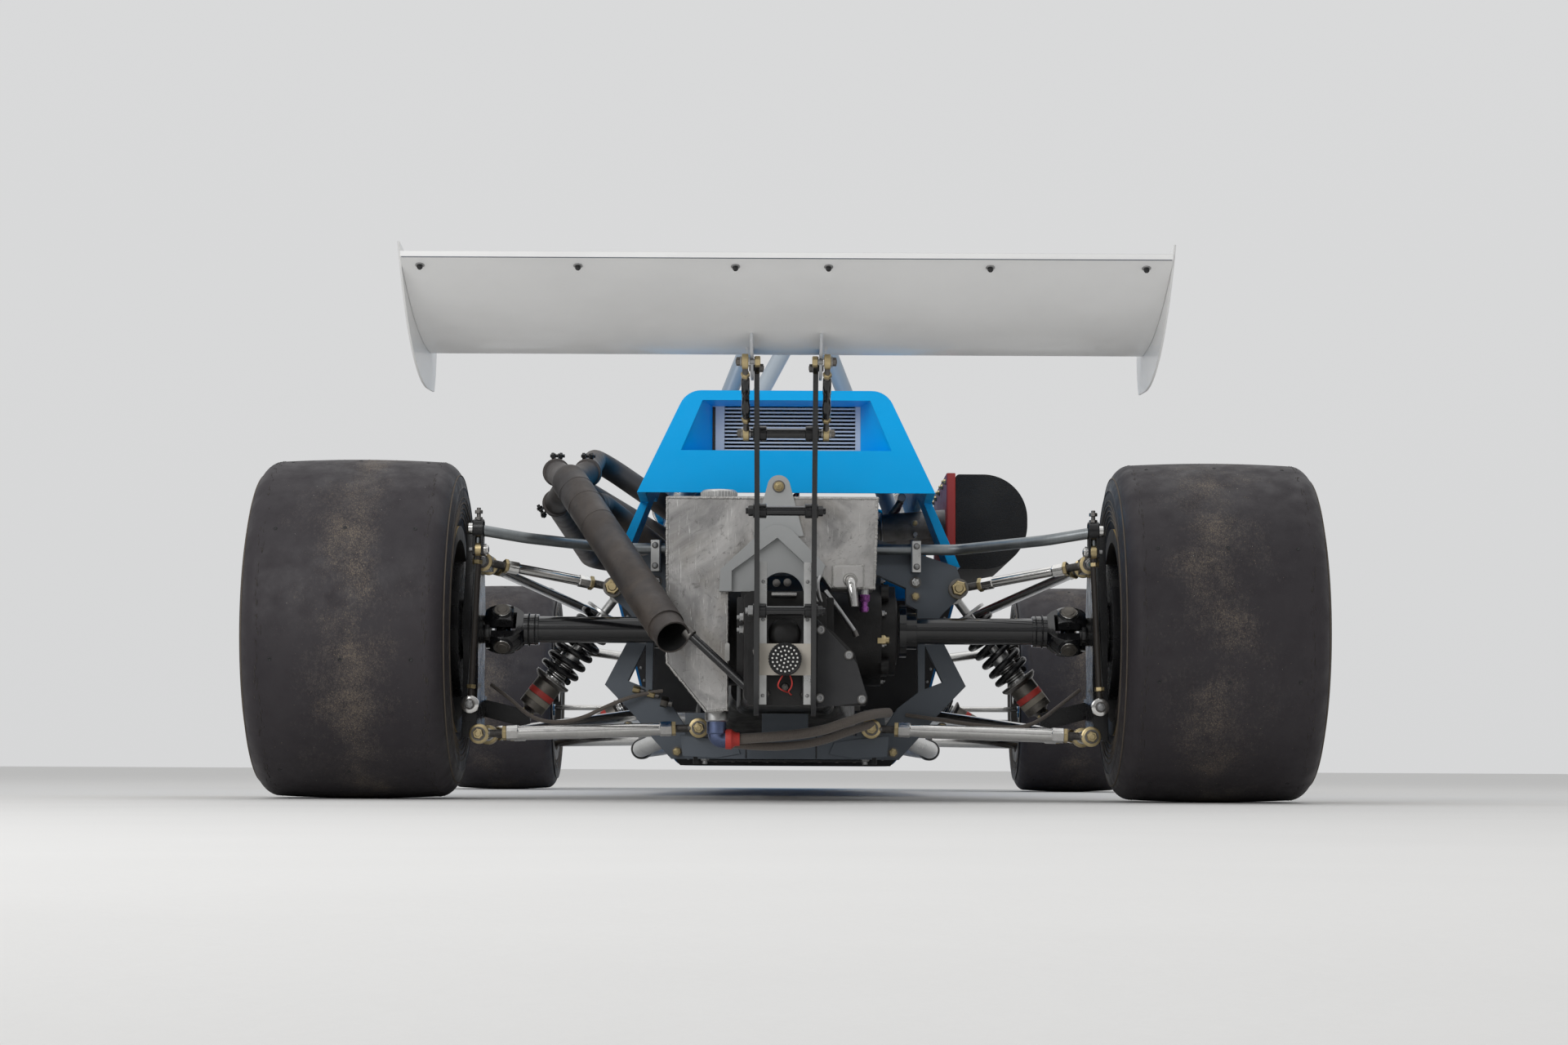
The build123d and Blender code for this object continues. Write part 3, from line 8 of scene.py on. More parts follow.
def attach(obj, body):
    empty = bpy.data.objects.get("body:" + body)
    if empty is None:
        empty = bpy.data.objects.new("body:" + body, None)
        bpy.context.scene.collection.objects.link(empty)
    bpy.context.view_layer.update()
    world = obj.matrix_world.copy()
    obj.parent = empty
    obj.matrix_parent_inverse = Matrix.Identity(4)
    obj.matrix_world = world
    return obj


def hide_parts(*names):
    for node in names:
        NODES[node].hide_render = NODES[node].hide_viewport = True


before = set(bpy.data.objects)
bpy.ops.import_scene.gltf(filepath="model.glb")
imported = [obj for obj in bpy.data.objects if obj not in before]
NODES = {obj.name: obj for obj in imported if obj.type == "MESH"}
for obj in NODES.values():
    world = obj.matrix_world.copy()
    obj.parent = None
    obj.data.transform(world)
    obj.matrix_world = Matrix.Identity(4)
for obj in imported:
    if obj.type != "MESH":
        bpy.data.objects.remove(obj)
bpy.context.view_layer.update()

# Places and sizes are the car's own millimetres: x to the right, forward of the rear axle, and up
MM = 0.001
REAR_AXLE = -1070
WHEELBASE = 2440
SIDES = (("left", -1), ("right", 1))
RIGHT, FORWARD, UP = Vector((1, 0, 0)), Vector((0, 1, 0)), Vector((0, 0, 1))
REAR, DOWN = -FORWARD, -UP


def at(x, forward, z):
    """A place or a step in the car's millimetres."""
    return Vector((x, forward, z))


def metres(x, forward, z):
    """A place in the frame's metres."""
    return Vector((x * MM, (REAR_AXLE + forward) * MM, z * MM))


def mirrored(place, side):
    """A right hand place, three numbers, moved to its own side."""
    x, forward, z = place
    return at(x * side, forward, z)


def spokes(count, first=0.0, across=FORWARD, up=UP):
    """Unit steps out from an axle, evenly round it, and by how many spokes the first is turned."""
    for i in range(count):
        a = 2 * math.pi * (i + first) / count
        yield across * math.cos(a) + up * math.sin(a)


# Materials

class Surface:
    """A node based material, built up from one shader."""

    def __init__(self, name, color, rough, metal=0.0, **sockets):
        self.material = bpy.data.materials.new(name)
        self.material.use_nodes = True
        self.nodes = self.material.node_tree.nodes
        self.links = self.material.node_tree.links
        self.shader = self.nodes["Principled BSDF"]
        self.color = (*color, 1)
        values = {"Base Color": self.color, "Roughness": rough, "Metallic": metal}
        values.update({socket.replace("_", " "): value for socket, value in sockets.items()})
        for socket, value in values.items():
            self.shader.inputs[socket].default_value = value
        self.place = self.nodes.new("ShaderNodeTexCoord").outputs["Object"]
        self.height = None

    def stretched(self, scale):
        """The place, stretched along the axes."""
        mapping = self.nodes.new("ShaderNodeMapping")
        mapping.inputs["Scale"].default_value = scale
        self.links.new(self.place, mapping.inputs["Vector"])
        return mapping.outputs["Vector"]

    def noise(self, scale, detail=4, rough=0.55, warp=0.0, place=None):
        """Cloudy noise, its scale in waves a metre."""
        node = self.nodes.new("ShaderNodeTexNoise")
        values = {"Scale": scale, "Detail": detail, "Roughness": rough, "Distortion": warp}
        for socket, value in values.items():
            node.inputs[socket].default_value = value
        self.links.new(place or self.place, node.inputs["Vector"])
        return node.outputs["Fac"]

    def cells(self, scale):
        """Distance to the nearest of many scattered points."""
        node = self.nodes.new("ShaderNodeTexVoronoi")
        node.inputs["Scale"].default_value = scale
        self.links.new(self.place, node.inputs["Vector"])
        return node.outputs["Distance"]

    def ramp(self, value, low, high, least, most):
        """A grey that goes from least to most as a value goes from low to high."""
        node = self.nodes.new("ShaderNodeValToRGB")
        for mark, where, level in zip(node.color_ramp.elements, (low, high), (least, most)):
            mark.position = where
            mark.color = (level, level, level, 1)
        self.links.new(value, node.inputs["Fac"])
        return node.outputs["Color"]

    def math(self, kind, a, b):
        """Arithmetic on two values or numbers."""
        node = self.nodes.new("ShaderNodeMath")
        node.operation = kind
        for socket, value in zip(node.inputs, (a, b)):
            if isinstance(value, (int, float)):
                socket.default_value = value
            else:
                self.links.new(value, socket)
        return node.outputs["Value"]

    def mottle(self, value, low, high, most, color):
        """Lays another colour over the base, from none to a share, as a value goes from low to high."""
        node = self.nodes.new("ShaderNodeMix")
        node.data_type = "RGBA"
        self.links.new(self.ramp(value, low, high, 0.0, most), node.inputs["Factor"])
        base = self.shader.inputs["Base Color"]
        if base.is_linked:
            self.links.new(base.links[0].from_socket, node.inputs["A"])
        else:
            node.inputs["A"].default_value = self.color
        node.inputs["B"].default_value = (*color, 1)
        self.links.new(node.outputs["Result"], base)

    def roughen(self, value, least, most):
        """Roughness that follows a value."""
        self.links.new(self.ramp(value, 0.3, 0.7, least, most), self.shader.inputs["Roughness"])

    def bump(self, value, depth, strength=1.0):
        """Relief of a real depth in metres, laid on what is there already."""
        node = self.nodes.new("ShaderNodeBump")
        node.inputs["Strength"].default_value = strength
        node.inputs["Distance"].default_value = depth
        self.links.new(value, node.inputs["Height"])
        if self.height:
            self.links.new(self.height, node.inputs["Normal"])
        self.height = node.outputs["Normal"]
        self.links.new(self.height, self.shader.inputs["Normal"])

    def soft_edges(self, radius):
        """Rounds the look of sharp edges."""
        node = self.nodes.new("ShaderNodeBevel")
        node.samples = 4
        node.inputs["Radius"].default_value = radius
        self.height = node.outputs["Normal"]
        self.links.new(self.height, self.shader.inputs["Normal"])


def shaded(color, share):
    """A colour with its light scaled."""
    return tuple(c * share for c in color)


def paint(name, color, rough=0.35, coat=0.0, dust=(0.45, 0.42, 0.38), dust_level=0.66, edge=0.0012,
          shine=0.5):
    """Sprayed paint with faint dust and a little orange peel."""
    s = Surface(name, color, rough, Coat_Weight=coat, Coat_Roughness=0.08, Specular_IOR_Level=shine)
    s.soft_edges(edge)
    s.mottle(s.noise(5, 5), 0.35, 0.75, 0.6, shaded(color, 0.88))
    specks = s.math("MULTIPLY", s.noise(90, 6, 0.7), s.noise(9, 3))
    s.mottle(specks, dust_level - 0.34, dust_level, 0.35, dust)
    s.roughen(s.noise(30, 5), rough * 0.85, rough * 1.25)
    s.bump(s.noise(260, 2), 0.00006, 0.5)
    return s.material


def bare_metal(name, color, rough, grain=(60, 60, 900), stain=0.5, dark=None):
    """Metal with a fine directional grain, scratches and stains."""
    s = Surface(name, color, rough, metal=1.0)
    s.soft_edges(0.0010)
    dark = dark or shaded(color, 0.45)
    s.mottle(s.noise(14, 8, 0.65, 1.2), 0.45, 0.78, stain, dark)
    grain_noise = s.noise(1.0, 3, 0.6, place=s.stretched(grain))
    s.mottle(grain_noise, 0.3, 0.8, 0.25, dark)
    s.roughen(s.noise(22, 6, 0.6), max(rough - 0.12, 0.05), rough + 0.16)
    s.bump(grain_noise, 0.00008, 0.6)
    return s.material


def sheet_aluminium():
    """Hand worked tank sheet: cloudy scuffs, swirls and dark handling marks."""
    s = Surface("tank_sheet", (0.60, 0.585, 0.57), 0.40, metal=1.0)
    s.soft_edges(0.002)
    s.mottle(s.noise(6, 9, 0.62, 1.6), 0.40, 0.60, 0.80, (0.25, 0.245, 0.245))
    s.mottle(s.noise(3.1, 5, 0.6, 2.2), 0.50, 0.66, 0.55, (0.36, 0.33, 0.29))
    s.mottle(s.noise(34, 8, 0.7, 3.0), 0.56, 0.70, 0.75, (0.15, 0.145, 0.14))
    scratch = s.noise(1.0, 4, 0.7, 0.6, place=s.stretched((420, 60, 30)))
    s.mottle(scratch, 0.60, 0.68, 0.6, (0.85, 0.85, 0.83))
    s.roughen(s.noise(16, 8, 0.65, 1.0), 0.26, 0.60)
    s.bump(s.noise(9, 3), 0.0030, 0.55)
    s.bump(scratch, 0.0001, 0.5)
    return s.material


def cast_alloy(name, color, rough=0.55, metal=0.85):
    """Sand cast alloy with a pitted skin and oily dirt."""
    s = Surface(name, color, rough, metal=metal)
    s.soft_edges(0.0025)
    s.mottle(s.noise(18, 7, 0.6, 0.8), 0.42, 0.70, 0.75, shaded(color, 0.35))
    s.roughen(s.noise(40, 5), rough - 0.12, rough + 0.18)
    s.bump(s.noise(420, 4), 0.00035, 0.8)
    return s.material


def burnt_steel():
    """Exhaust tube with a matt grey brown heat bloom."""
    s = Surface("burnt_steel", (0.078, 0.073, 0.073), 0.50, metal=0.7)
    s.soft_edges(0.0015)
    s.mottle(s.noise(6, 6, 0.6, 1.0), 0.40, 0.68, 0.8, (0.118, 0.097, 0.082))
    s.mottle(s.noise(28, 8, 0.7, 1.5), 0.55, 0.72, 0.6, (0.05, 0.048, 0.05))
    s.roughen(s.noise(20, 6), 0.42, 0.72)
    s.bump(s.noise(160, 5), 0.00018, 0.7)
    return s.material


def slick_rubber(name):
    """Dark sidewall compound with a faint bloom."""
    s = Surface(name, (0.028, 0.024, 0.026), 0.50, Specular_IOR_Level=0.45)
    s.mottle(s.noise(6, 8, 0.6, 0.5), 0.40, 0.75, 0.6, (0.040, 0.037, 0.037))
    s.mottle(s.noise(70, 8, 0.7), 0.54, 0.72, 0.25, (0.10, 0.095, 0.085))
    s.roughen(s.noise(30, 7), 0.42, 0.70)
    s.bump(s.noise(240, 6, 0.6), 0.0003, 0.6)
    return s.material


def slick_tread():
    """Worn slick tread: smooth and dark, with fine dusty crumbs that thin out towards its edges."""
    s = Surface("slick_tread", (0.024, 0.020, 0.024), 0.52, Specular_IOR_Level=0.42)
    s.mottle(s.noise(5, 6, 0.6), 0.35, 0.8, 0.6, (0.042, 0.036, 0.040))
    split = s.nodes.new("ShaderNodeSeparateXYZ")
    s.links.new(s.place, split.inputs["Vector"])
    tread_middle = 0.722
    from_middle = s.math("SUBTRACT", s.math("ABSOLUTE", split.outputs["X"], 0), tread_middle)
    across = s.math("ABSOLUTE", from_middle, 0)
    band = s.math("SUBTRACT", 1.0, s.math("MULTIPLY", across, 6.0))
    patches = s.math("ADD", s.math("MULTIPLY", s.noise(11, 6, 0.6), 0.62), 0.08)
    cloud = s.math("ADD", s.math("MULTIPLY", band, 0.26), patches)
    streak = s.noise(1.0, 8, 0.78, 0.3, place=s.stretched((190, 130, 130)))
    s.mottle(s.math("MULTIPLY", cloud, streak), 0.28, 0.44, 0.42, (0.125, 0.108, 0.096))
    fleck = s.noise(1.0, 4, 0.8, place=s.stretched((520, 380, 380)))
    s.mottle(s.math("MULTIPLY", cloud, fleck), 0.345, 0.405, 0.65, (0.19, 0.15, 0.11))
    s.roughen(s.noise(30, 7), 0.46, 0.74)
    s.bump(streak, 0.0004, 0.7)
    s.bump(s.noise(14, 4), 0.0008, 0.4)
    return s.material


def foam():
    """Open cell filter foam, oiled dark."""
    s = Surface("filter_foam", (0.018, 0.017, 0.017), 0.95, Sheen_Weight=0.15)
    s.mottle(s.noise(12, 6), 0.45, 0.75, 0.6, (0.040, 0.037, 0.034))
    s.mottle(s.noise(500, 5, 0.8), 0.54, 0.68, 0.5, (0.085, 0.078, 0.070))
    s.bump(s.cells(620), 0.0012, 0.9)
    s.bump(s.noise(35, 3), 0.0035, 0.35)
    return s.material


def rubber(name, color=(0.018, 0.018, 0.019), rough=0.55):
    """Moulded rubber hose or bush."""
    s = Surface(name, color, rough)
    s.soft_edges(0.0008)
    s.mottle(s.noise(60, 6), 0.5, 0.8, 0.5, tuple(min(1, c * 1.8 + 0.02) for c in color))
    s.bump(s.noise(400, 3), 0.0001, 0.5)
    return s.material


def clear_plastic(name, color):
    """Clear sheet."""
    s = Surface(name, color, 0.08, Transmission_Weight=1.0, IOR=1.49)
    s.roughen(s.noise(40, 4), 0.08, 0.13)
    s.bump(s.noise(12, 2), 0.0002, 0.3)
    return s.material


def leather(name, color):
    """Grained leather or suede."""
    s = Surface(name, color, 0.7, Sheen_Weight=0.2)
    s.mottle(s.noise(30, 6), 0.4, 0.8, 0.6, shaded(color, 1.9))
    s.bump(s.cells(900), 0.0003, 0.7)
    return s.material


def webbing(name, color):
    """Woven strap or sleeve."""
    s = Surface(name, color, 0.8, Sheen_Weight=0.3)
    rib = s.noise(1.0, 2, place=s.stretched((1200, 300, 300)))
    s.mottle(rib, 0.4, 0.7, 0.6, shaded(color, 0.55))
    s.bump(rib, 0.0004, 0.7)
    return s.material


M = {
    "blue": paint("blue_gloss", (0.0, 0.440, 0.96), 0.34, dust_level=0.94, shine=0.22),
    "tub": paint("blue_tub", (0.002, 0.150, 0.420), 0.34, dust_level=0.80, shine=0.4),
    "white": paint("white_satin", (0.83, 0.83, 0.825), 0.38, 0.2, (0.50, 0.48, 0.45), 0.80),
    "frame": paint("blue_grey", (0.115, 0.135, 0.160), 0.45, dust_level=0.72, edge=0.002),
    "hoop": paint("hoop_grey", (0.30, 0.36, 0.42), 0.36, coat=0.2),
    "bracket": paint("bracket_grey", (0.42, 0.43, 0.43), 0.5, dust_level=0.72, edge=0.0015),
    "black": paint("black_satin", (0.008, 0.008, 0.009), 0.25, 0.0, (0.12, 0.11, 0.10), 0.84),
    "gloss": paint("black_gloss", (0.005, 0.005, 0.006), 0.14, 0.5, (0.08, 0.07, 0.07), 0.92),
    "cooler": paint("cooler_tube", (0.62, 0.64, 0.67), 0.40),
    "case": cast_alloy("black_case", (0.019, 0.018, 0.018), 0.40, 0.3),
    "cast": cast_alloy("cast_alloy", (0.34, 0.33, 0.32), 0.52),
    "gold": paint("wheel_gold", (0.52, 0.36, 0.12), 0.42, dust_level=0.70, edge=0.002),
    "tank": sheet_aluminium(),
    "weld": bare_metal("weld_bead", (0.52, 0.51, 0.49), 0.42, (300, 300, 300), 0.4),
    "alloy": bare_metal("brushed_alloy", (0.66, 0.66, 0.65), 0.34, (60, 900, 60), 0.35),
    "steel": bare_metal("ground_steel", (0.40, 0.40, 0.40), 0.36, (700, 60, 60), 0.45),
    "dull": bare_metal("dull_steel", (0.22, 0.21, 0.20), 0.48, (90, 90, 90), 0.6),
    "bar": bare_metal("bar_steel", (0.30, 0.32, 0.33), 0.42, (300, 40, 40), 0.3),
    "plate": bare_metal("bright_plate", (0.74, 0.73, 0.71), 0.10, (200, 200, 200), 0.35),
    "can": bare_metal("damper_can", (0.200, 0.185, 0.165), 0.46, (90, 90, 400), 0.6),
    "bronze": paint("dark_bronze", (0.030, 0.024, 0.020), 0.45, dust=(0.10, 0.09, 0.08)),
    "elbow": bare_metal("blue_elbow", (0.16, 0.20, 0.34), 0.34, (90, 90, 90), 0.4),
    "braid": webbing("braided_cover", (0.170, 0.145, 0.125)),
    "zinc": bare_metal("yellow_zinc", (0.62, 0.50, 0.28), 0.36, (90, 90, 90), 0.6),
    "purple": bare_metal("anodised_purple", (0.42, 0.14, 0.46), 0.34, (90, 90, 90), 0.2),
    "rust": bare_metal("disc_face", (0.36, 0.34, 0.32), 0.35, (60, 900, 900), 0.6, (0.16, 0.10, 0.07)),
    "burnt": burnt_steel(),
    "soot": rubber("soot", (0.008, 0.008, 0.008), 0.9),
    "tread": slick_tread(),
    "wall": slick_rubber("slick_sidewall"),
    "crumb": rubber("tyre_crumb", (0.055, 0.048, 0.042), 0.8),
    "straw": rubber("dry_straw", (0.22, 0.175, 0.12), 0.8),
    "ridge": rubber("dusty_ridge", (0.095, 0.076, 0.058), 0.8),
    "chip": rubber("stone_chip", (0.42, 0.40, 0.36), 0.8),
    "foam": foam(),
    "rubber": rubber("black_rubber"),
    "hose_red": rubber("red_ring", (0.62, 0.055, 0.045), 0.5),
    "lid_and_shade": paint("lid_black_and_shade", (0.024, 0.024, 0.026), 0.55, dust=(0.10, 0.10, 0.10), dust_level=0.72),
    "red": paint("red_plate", (0.56, 0.055, 0.045), 0.5, dust_level=0.72),
    "clear": clear_plastic("clear_screen", (0.90, 0.95, 0.98)),
    "diode": paint("diode_white", (0.88, 0.87, 0.84), 0.25, coat=0.6, dust_level=0.95),
    "cream": paint("cream_plate", (0.66, 0.61, 0.53), 0.45),
    "leather": leather("wheel_leather", (0.020, 0.020, 0.021)),
    "belt": webbing("harness", (0.018, 0.020, 0.035)),
    "seat": leather("seat_cover", (0.030, 0.030, 0.032)),
    "label": paint("plain_label", (0.30, 0.27, 0.22), 0.5),
    "dial": paint("dial_white", (0.72, 0.72, 0.70), 0.5),
    "mirror": bare_metal("mirror_face", (0.9, 0.9, 0.9), 0.03, (10, 10, 10), 0.05),
}

# The material of each kept node
KEPT = {
    "tub": ("monocoque",),
    "blue": ("cockpit_surround", "nose_cone", "engine_cover"),
    "white": ("front_wings", "wing_end_plates"),
    "clear": ("windscreen",),
    "hoop": ("roll_hoop",),
    "black": ("dash_panel", "rear_uprights", "mirrors", "front_upright_left", "front_upright_right"),
    "cast": ("rack_housing", "engine", "throttle_bodies"),
    "plate": ("steering_rack", "front_wishbones"),
    "alloy": ("water_pipes", "light_bracket", "radiator", "dampers"),
    "frame": ("rear_frame",),
    "bar": ("rear_antiroll_bar",),
    "foam": ("air_filter",),
    "burnt": ("exhaust",),
    "case": ("gearbox",),
    "tank": ("oil_tank",),
    "bracket": ("tank_bracket",),
    "gloss": ("wing_posts", "half_shaft_left", "half_shaft_right"),
    "seat": ("seat",),
    "steel": ("front_hub_left", "front_hub_right"),
    "gold": ("front_rim_left", "front_rim_right", "rear_rim_left", "rear_rim_right"),
    "leather": ("steering_wheel",),
}


# Mesh building, in millimetres

class Mesh:
    """Collects faces in several materials, then makes one object of them."""

    def __init__(self):
        self.points = []
        self.faces = []
        self.kinds = []
        self.names = []

    def add(self, points, faces, kind):
        """Adds faces of one material, numbered from their own first point."""
        if kind not in self.names:
            self.names.append(kind)
        start = len(self.points)
        self.points.extend(points)
        self.faces.extend([tuple(i + start for i in f) for f in faces])
        self.kinds.extend([self.names.index(kind)] * len(faces))

    def loops(self, rings, kind, closed=False, caps=True):
        """Skins a row of rings that all have the same number of points."""
        count = len(rings[0])
        faces = []
        for row in range(len(rings) if closed else len(rings) - 1):
            a, b = row * count, ((row + 1) % len(rings)) * count
            for i in range(count):
                j = (i + 1) % count
                faces.append((a + i, a + j, b + j, b + i))
        if caps and not closed:
            faces.append(tuple(reversed(range(count))))
            faces.append(tuple((len(rings) - 1) * count + i for i in range(count)))
        self.add([p for ring in rings for p in ring], faces, kind)

    def lathe(self, start, axis, profile, kind, sides=24, caps=True):
        """Turns a profile of (distance along, radius) about an axis."""
        axis = Vector(axis).normalized()
        across = axis.orthogonal().normalized()
        out = list(spokes(sides, 0.0, across, axis.cross(across)))
        rings = []
        for along, radius in profile:
            centre = Vector(start) + axis * along
            rings.append([centre + way * radius for way in out])
        self.loops(rings, kind, caps=caps)

    def drum(self, start, axis, radius, length, kind, sides=24, end_radius=None):
        """A plain round length, or a tapered one."""
        self.lathe(start, axis, [(0, radius), (length, end_radius or radius)], kind, sides)

    def collar(self, start, axis, radius, length, edge, kind, sides=24, cut=1):
        """A round length whose two edges are cut back."""
        low = radius - edge
        self.lathe(start, axis, [(0, low), (cut, radius), (length - cut, radius), (length, low)], kind, sides)

    def rod(self, start, end, radius, kind, sides=16):
        """A round bar with softly broken ends."""
        axis = Vector(end) - Vector(start)
        cut = min(radius * 0.12, axis.length * 0.1)
        self.collar(start, axis, radius, axis.length, cut, kind, sides, cut)

    def hexagon(self, start, axis, radius, height, kind):
        """A nut or bolt head with chamfered corners."""
        self.lathe(start, axis, [(0, radius), (height * 0.84, radius), (height, radius * 0.86)], kind, 6)

    def bolt(self, point, axis, radius, kind="steel", washer="steel", stud=False):
        """A washer, a hexagon head, and a dimple or the end of a stud."""
        axis = Vector(axis).normalized()
        point = Vector(point)
        self.drum(point, axis, radius * 1.35, radius * 0.22, washer, 20)
        self.hexagon(point + axis * radius * 0.22, axis, radius * 1.08, radius * 0.95, kind)
        top = point + axis * radius * 1.17
        if stud:
            self.rod(top, top + axis * radius * 0.7, radius * 0.55, kind, 12)
        else:
            self.drum(top, axis, radius * 0.62, radius * 0.12, kind, 14, radius * 0.5)

    def ring(self, centre, axis, radius, wire, kind, sides=32, around=10, arc=2 * math.pi, first=0.0):
        """A torus, or part of one."""
        axis = Vector(axis).normalized()
        across = axis.orthogonal().normalized()
        up = axis.cross(across)
        whole = abs(arc - 2 * math.pi) < 1e-6
        rings = []
        for i in range(sides if whole else sides + 1):
            a = first + arc * i / sides
            out = across * math.cos(a) + up * math.sin(a)
            section = spokes(around, 0.0, out, axis)
            rings.append([Vector(centre) + out * radius + way * wire for way in section])
        self.loops(rings, kind, closed=whole)

    def ball(self, centre, radius, kind, sides, rows):
        """A sphere."""
        angles = [math.pi * i / rows for i in range(rows + 1)]
        profile = [(-radius * math.cos(a), max(radius * math.sin(a), 0.01)) for a in angles]
        self.lathe(centre, UP, profile, kind, sides, caps=False)

    def tube(self, route, radius, kind, sides=12):
        """A round tube along a route of points, its section carried without twist."""
        rings = []
        up = None
        for point, forward in headings(route):
            up = forward.orthogonal() if up is None else up - forward * up.dot(forward)
            up = up.normalized()
            rings.append([point + way * radius for way in spokes(sides, 0.0, up, forward.cross(up))])
        self.loops(rings, kind)

    def slab(self, outline, depth, kind, bevel=0.0):
        """A flat plate: an outline of points, carried along the depth vector, with broken edges."""
        depth = Vector(depth)
        outline = [Vector(p) for p in outline]
        rings = [outline, [p + depth for p in outline]]
        if bevel:
            middle = sum(outline, Vector()) / len(outline)
            inward = [(middle - p).normalized() * bevel for p in outline]
            step = depth.normalized() * bevel
            rings = [[p + back for p, back in zip(outline, inward)],
                     [p + step for p in outline],
                     [p + depth - step for p in outline],
                     [p + depth + back for p, back in zip(outline, inward)]]
        self.loops(rings, kind)

    def box(self, low, high, kind, bevel=0.8):
        """A box with broken edges between two corners."""
        (x0, y0, z0), (x1, y1, z1) = low, high
        self.slab([(x0, y0, z0), (x1, y0, z0), (x1, y1, z0), (x0, y1, z0)], (0, 0, z1 - z0), kind, bevel)

    def brick(self, centre, half, kind, bevel):
        """A box about its middle."""
        self.box(centre - Vector(half), centre + Vector(half), kind, bevel)

    def flake(self, foot, long_way, short_way, top, kind):
        """A crumb with four corners round its foot, and a peak."""
        base = [foot + long_way, foot + short_way, foot - long_way, foot - short_way]
        self.add([*base, top], [(0, 1, 4), (1, 2, 4), (2, 3, 4), (3, 0, 4)], kind)

    def make(self, name, slot, body="chassis", replaces=(), sharp=32):
        """The finished object, riding on its body."""
        mesh = bpy.data.meshes.new(name)
        mesh.from_pydata([tuple(metres(*p)) for p in self.points], [], self.faces)
        for kind in self.names:
            mesh.materials.append(M[kind])
        mesh.polygons.foreach_set("material_index", self.kinds)
        mesh.polygons.foreach_set("use_smooth", [True] * len(self.faces))
        mesh.set_sharp_from_angle(angle=math.radians(sharp))
        mesh.update()
        made = bpy.data.objects.new(name, mesh)
        bpy.context.scene.collection.objects.link(made)
        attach(made, body)
        if replaces:
            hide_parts(*replaces)


def headings(route):
    """Each point of a route with the way it runs there."""
    last = len(route) - 1
    for i, point in enumerate(route):
        yield point, (route[min(i + 1, last)] - route[max(i - 1, 0)]).normalized()


def smooth_route(points, steps=10):
    """Points along a smooth curve through the given ones."""
    points = [Vector(p) for p in points]
    route = []
    padded = [points[0] * 2 - points[1]] + points + [points[-1] * 2 - points[-2]]
    for a, b, c, d in zip(padded, padded[1:], padded[2:], padded[3:]):
        for i in range(steps):
            t = i / steps
            route.append(0.5 * ((2 * b) + (c - a) * t + (2 * a - 5 * b + 4 * c - d) * t * t
                                + (3 * b - a - 3 * c + d) * t ** 3))
    route.append(points[-1])
    return route


def finish_node(name, kind):
    """A kept node: smooth where it curves, crisp at its edges, in its own material."""
    node = NODES[name]
    node.data.materials.clear()
    node.data.materials.append(M[kind])
    node.data.polygons.foreach_set("use_smooth", [True] * len(node.data.polygons))
    weld = node.modifiers.new("weld", "WELD")
    weld.merge_threshold = 0.00001
    split = node.modifiers.new("crisp", "EDGE_SPLIT")
    split.split_angle = math.radians(30)


# Tyres and wheels

# Tyre radius, width, width of the tread, half width between the beads, middle from the car's middle, axle
TYRES = {"rear": (295, 350, 278, 160, 737, 0), "front": (254, 265, 215, 120, 702, WHEELBASE)}
# Height of the rounded shoulder
SHOULDER = {"rear": 46, "front": 34}
# Radii of the moulded ridges
RIDGES = {"rear": (195, 203, 211, 220, 229, 268), "front": (189, 195, 201, 208)}
# How far the hub stands outside the tyre's middle
HUB_OUT = {"rear": 20, "front": 12}
# How many flecks are drawn for the tread, and how many torn edges for both shoulders together
FLECKS = {"rear": (1500, 420), "front": (500, 160)}
BEAD = 165
TYRE_SIDES = 144
WEAR_ROWS = 8
WEAR_TURN = {"left": -12.5, "right": -18.7}
GROUND_SIDE = -0.985


def tyre_profile(end):
    """Half a slick's outline from the bead out to the middle of the tread, as (across, radius)."""
    radius, width, tread, seat, _, _ = TYRES[end]
    half, shoulder = width / 2, SHOULDER[end]
    middle = (BEAD + radius) / 2 + 4
    points = [(seat - 12, BEAD + 0.6), (seat - 1, BEAD + 0.6), (seat - 0.6, BEAD + 14), (seat + 2, BEAD + 19),
              (seat + 7, BEAD + 24)]
    for i in range(7):
        t = i / 6
        across = seat + 9 + (half - seat - 10) * math.sin(t * math.pi / 2)
        points.append((across, BEAD + 28 + (middle - BEAD - 28) * t))
    points += [(half - 1.2, middle + 8), (half - 1.6, middle + 11), (half - 0.4, middle + 13)]
    top = radius - shoulder
    points.append((half - 2, top))
    for i in range(1, 11):
        a = i / 10 * math.pi / 2
        across = half - 2 - (half - 2 - tread / 2) * (1 - math.cos(a)) ** 0.9
        points.append((across, top + (shoulder - 4) * math.sin(a)))
    for i in range(1, 7):
        t = i / 6
        points.append((tread / 2 * (1 - t), radius - 4 * (1 - t) ** 2))
    return points


def along_profile(half, value, axis):
    """Reads the other number of a tyre's outline where its across (axis 0) or radius (axis 1) has a value."""
    for a, b in reversed(list(zip(half, half[1:]))):
        low, high = sorted((a[axis], b[axis]))
        if low <= value <= high and high > low:
            share = (value - a[axis]) / (b[axis] - a[axis])
            return a[1 - axis] + (b[1 - axis] - a[1 - axis]) * share
    return half[-1][1 - axis]


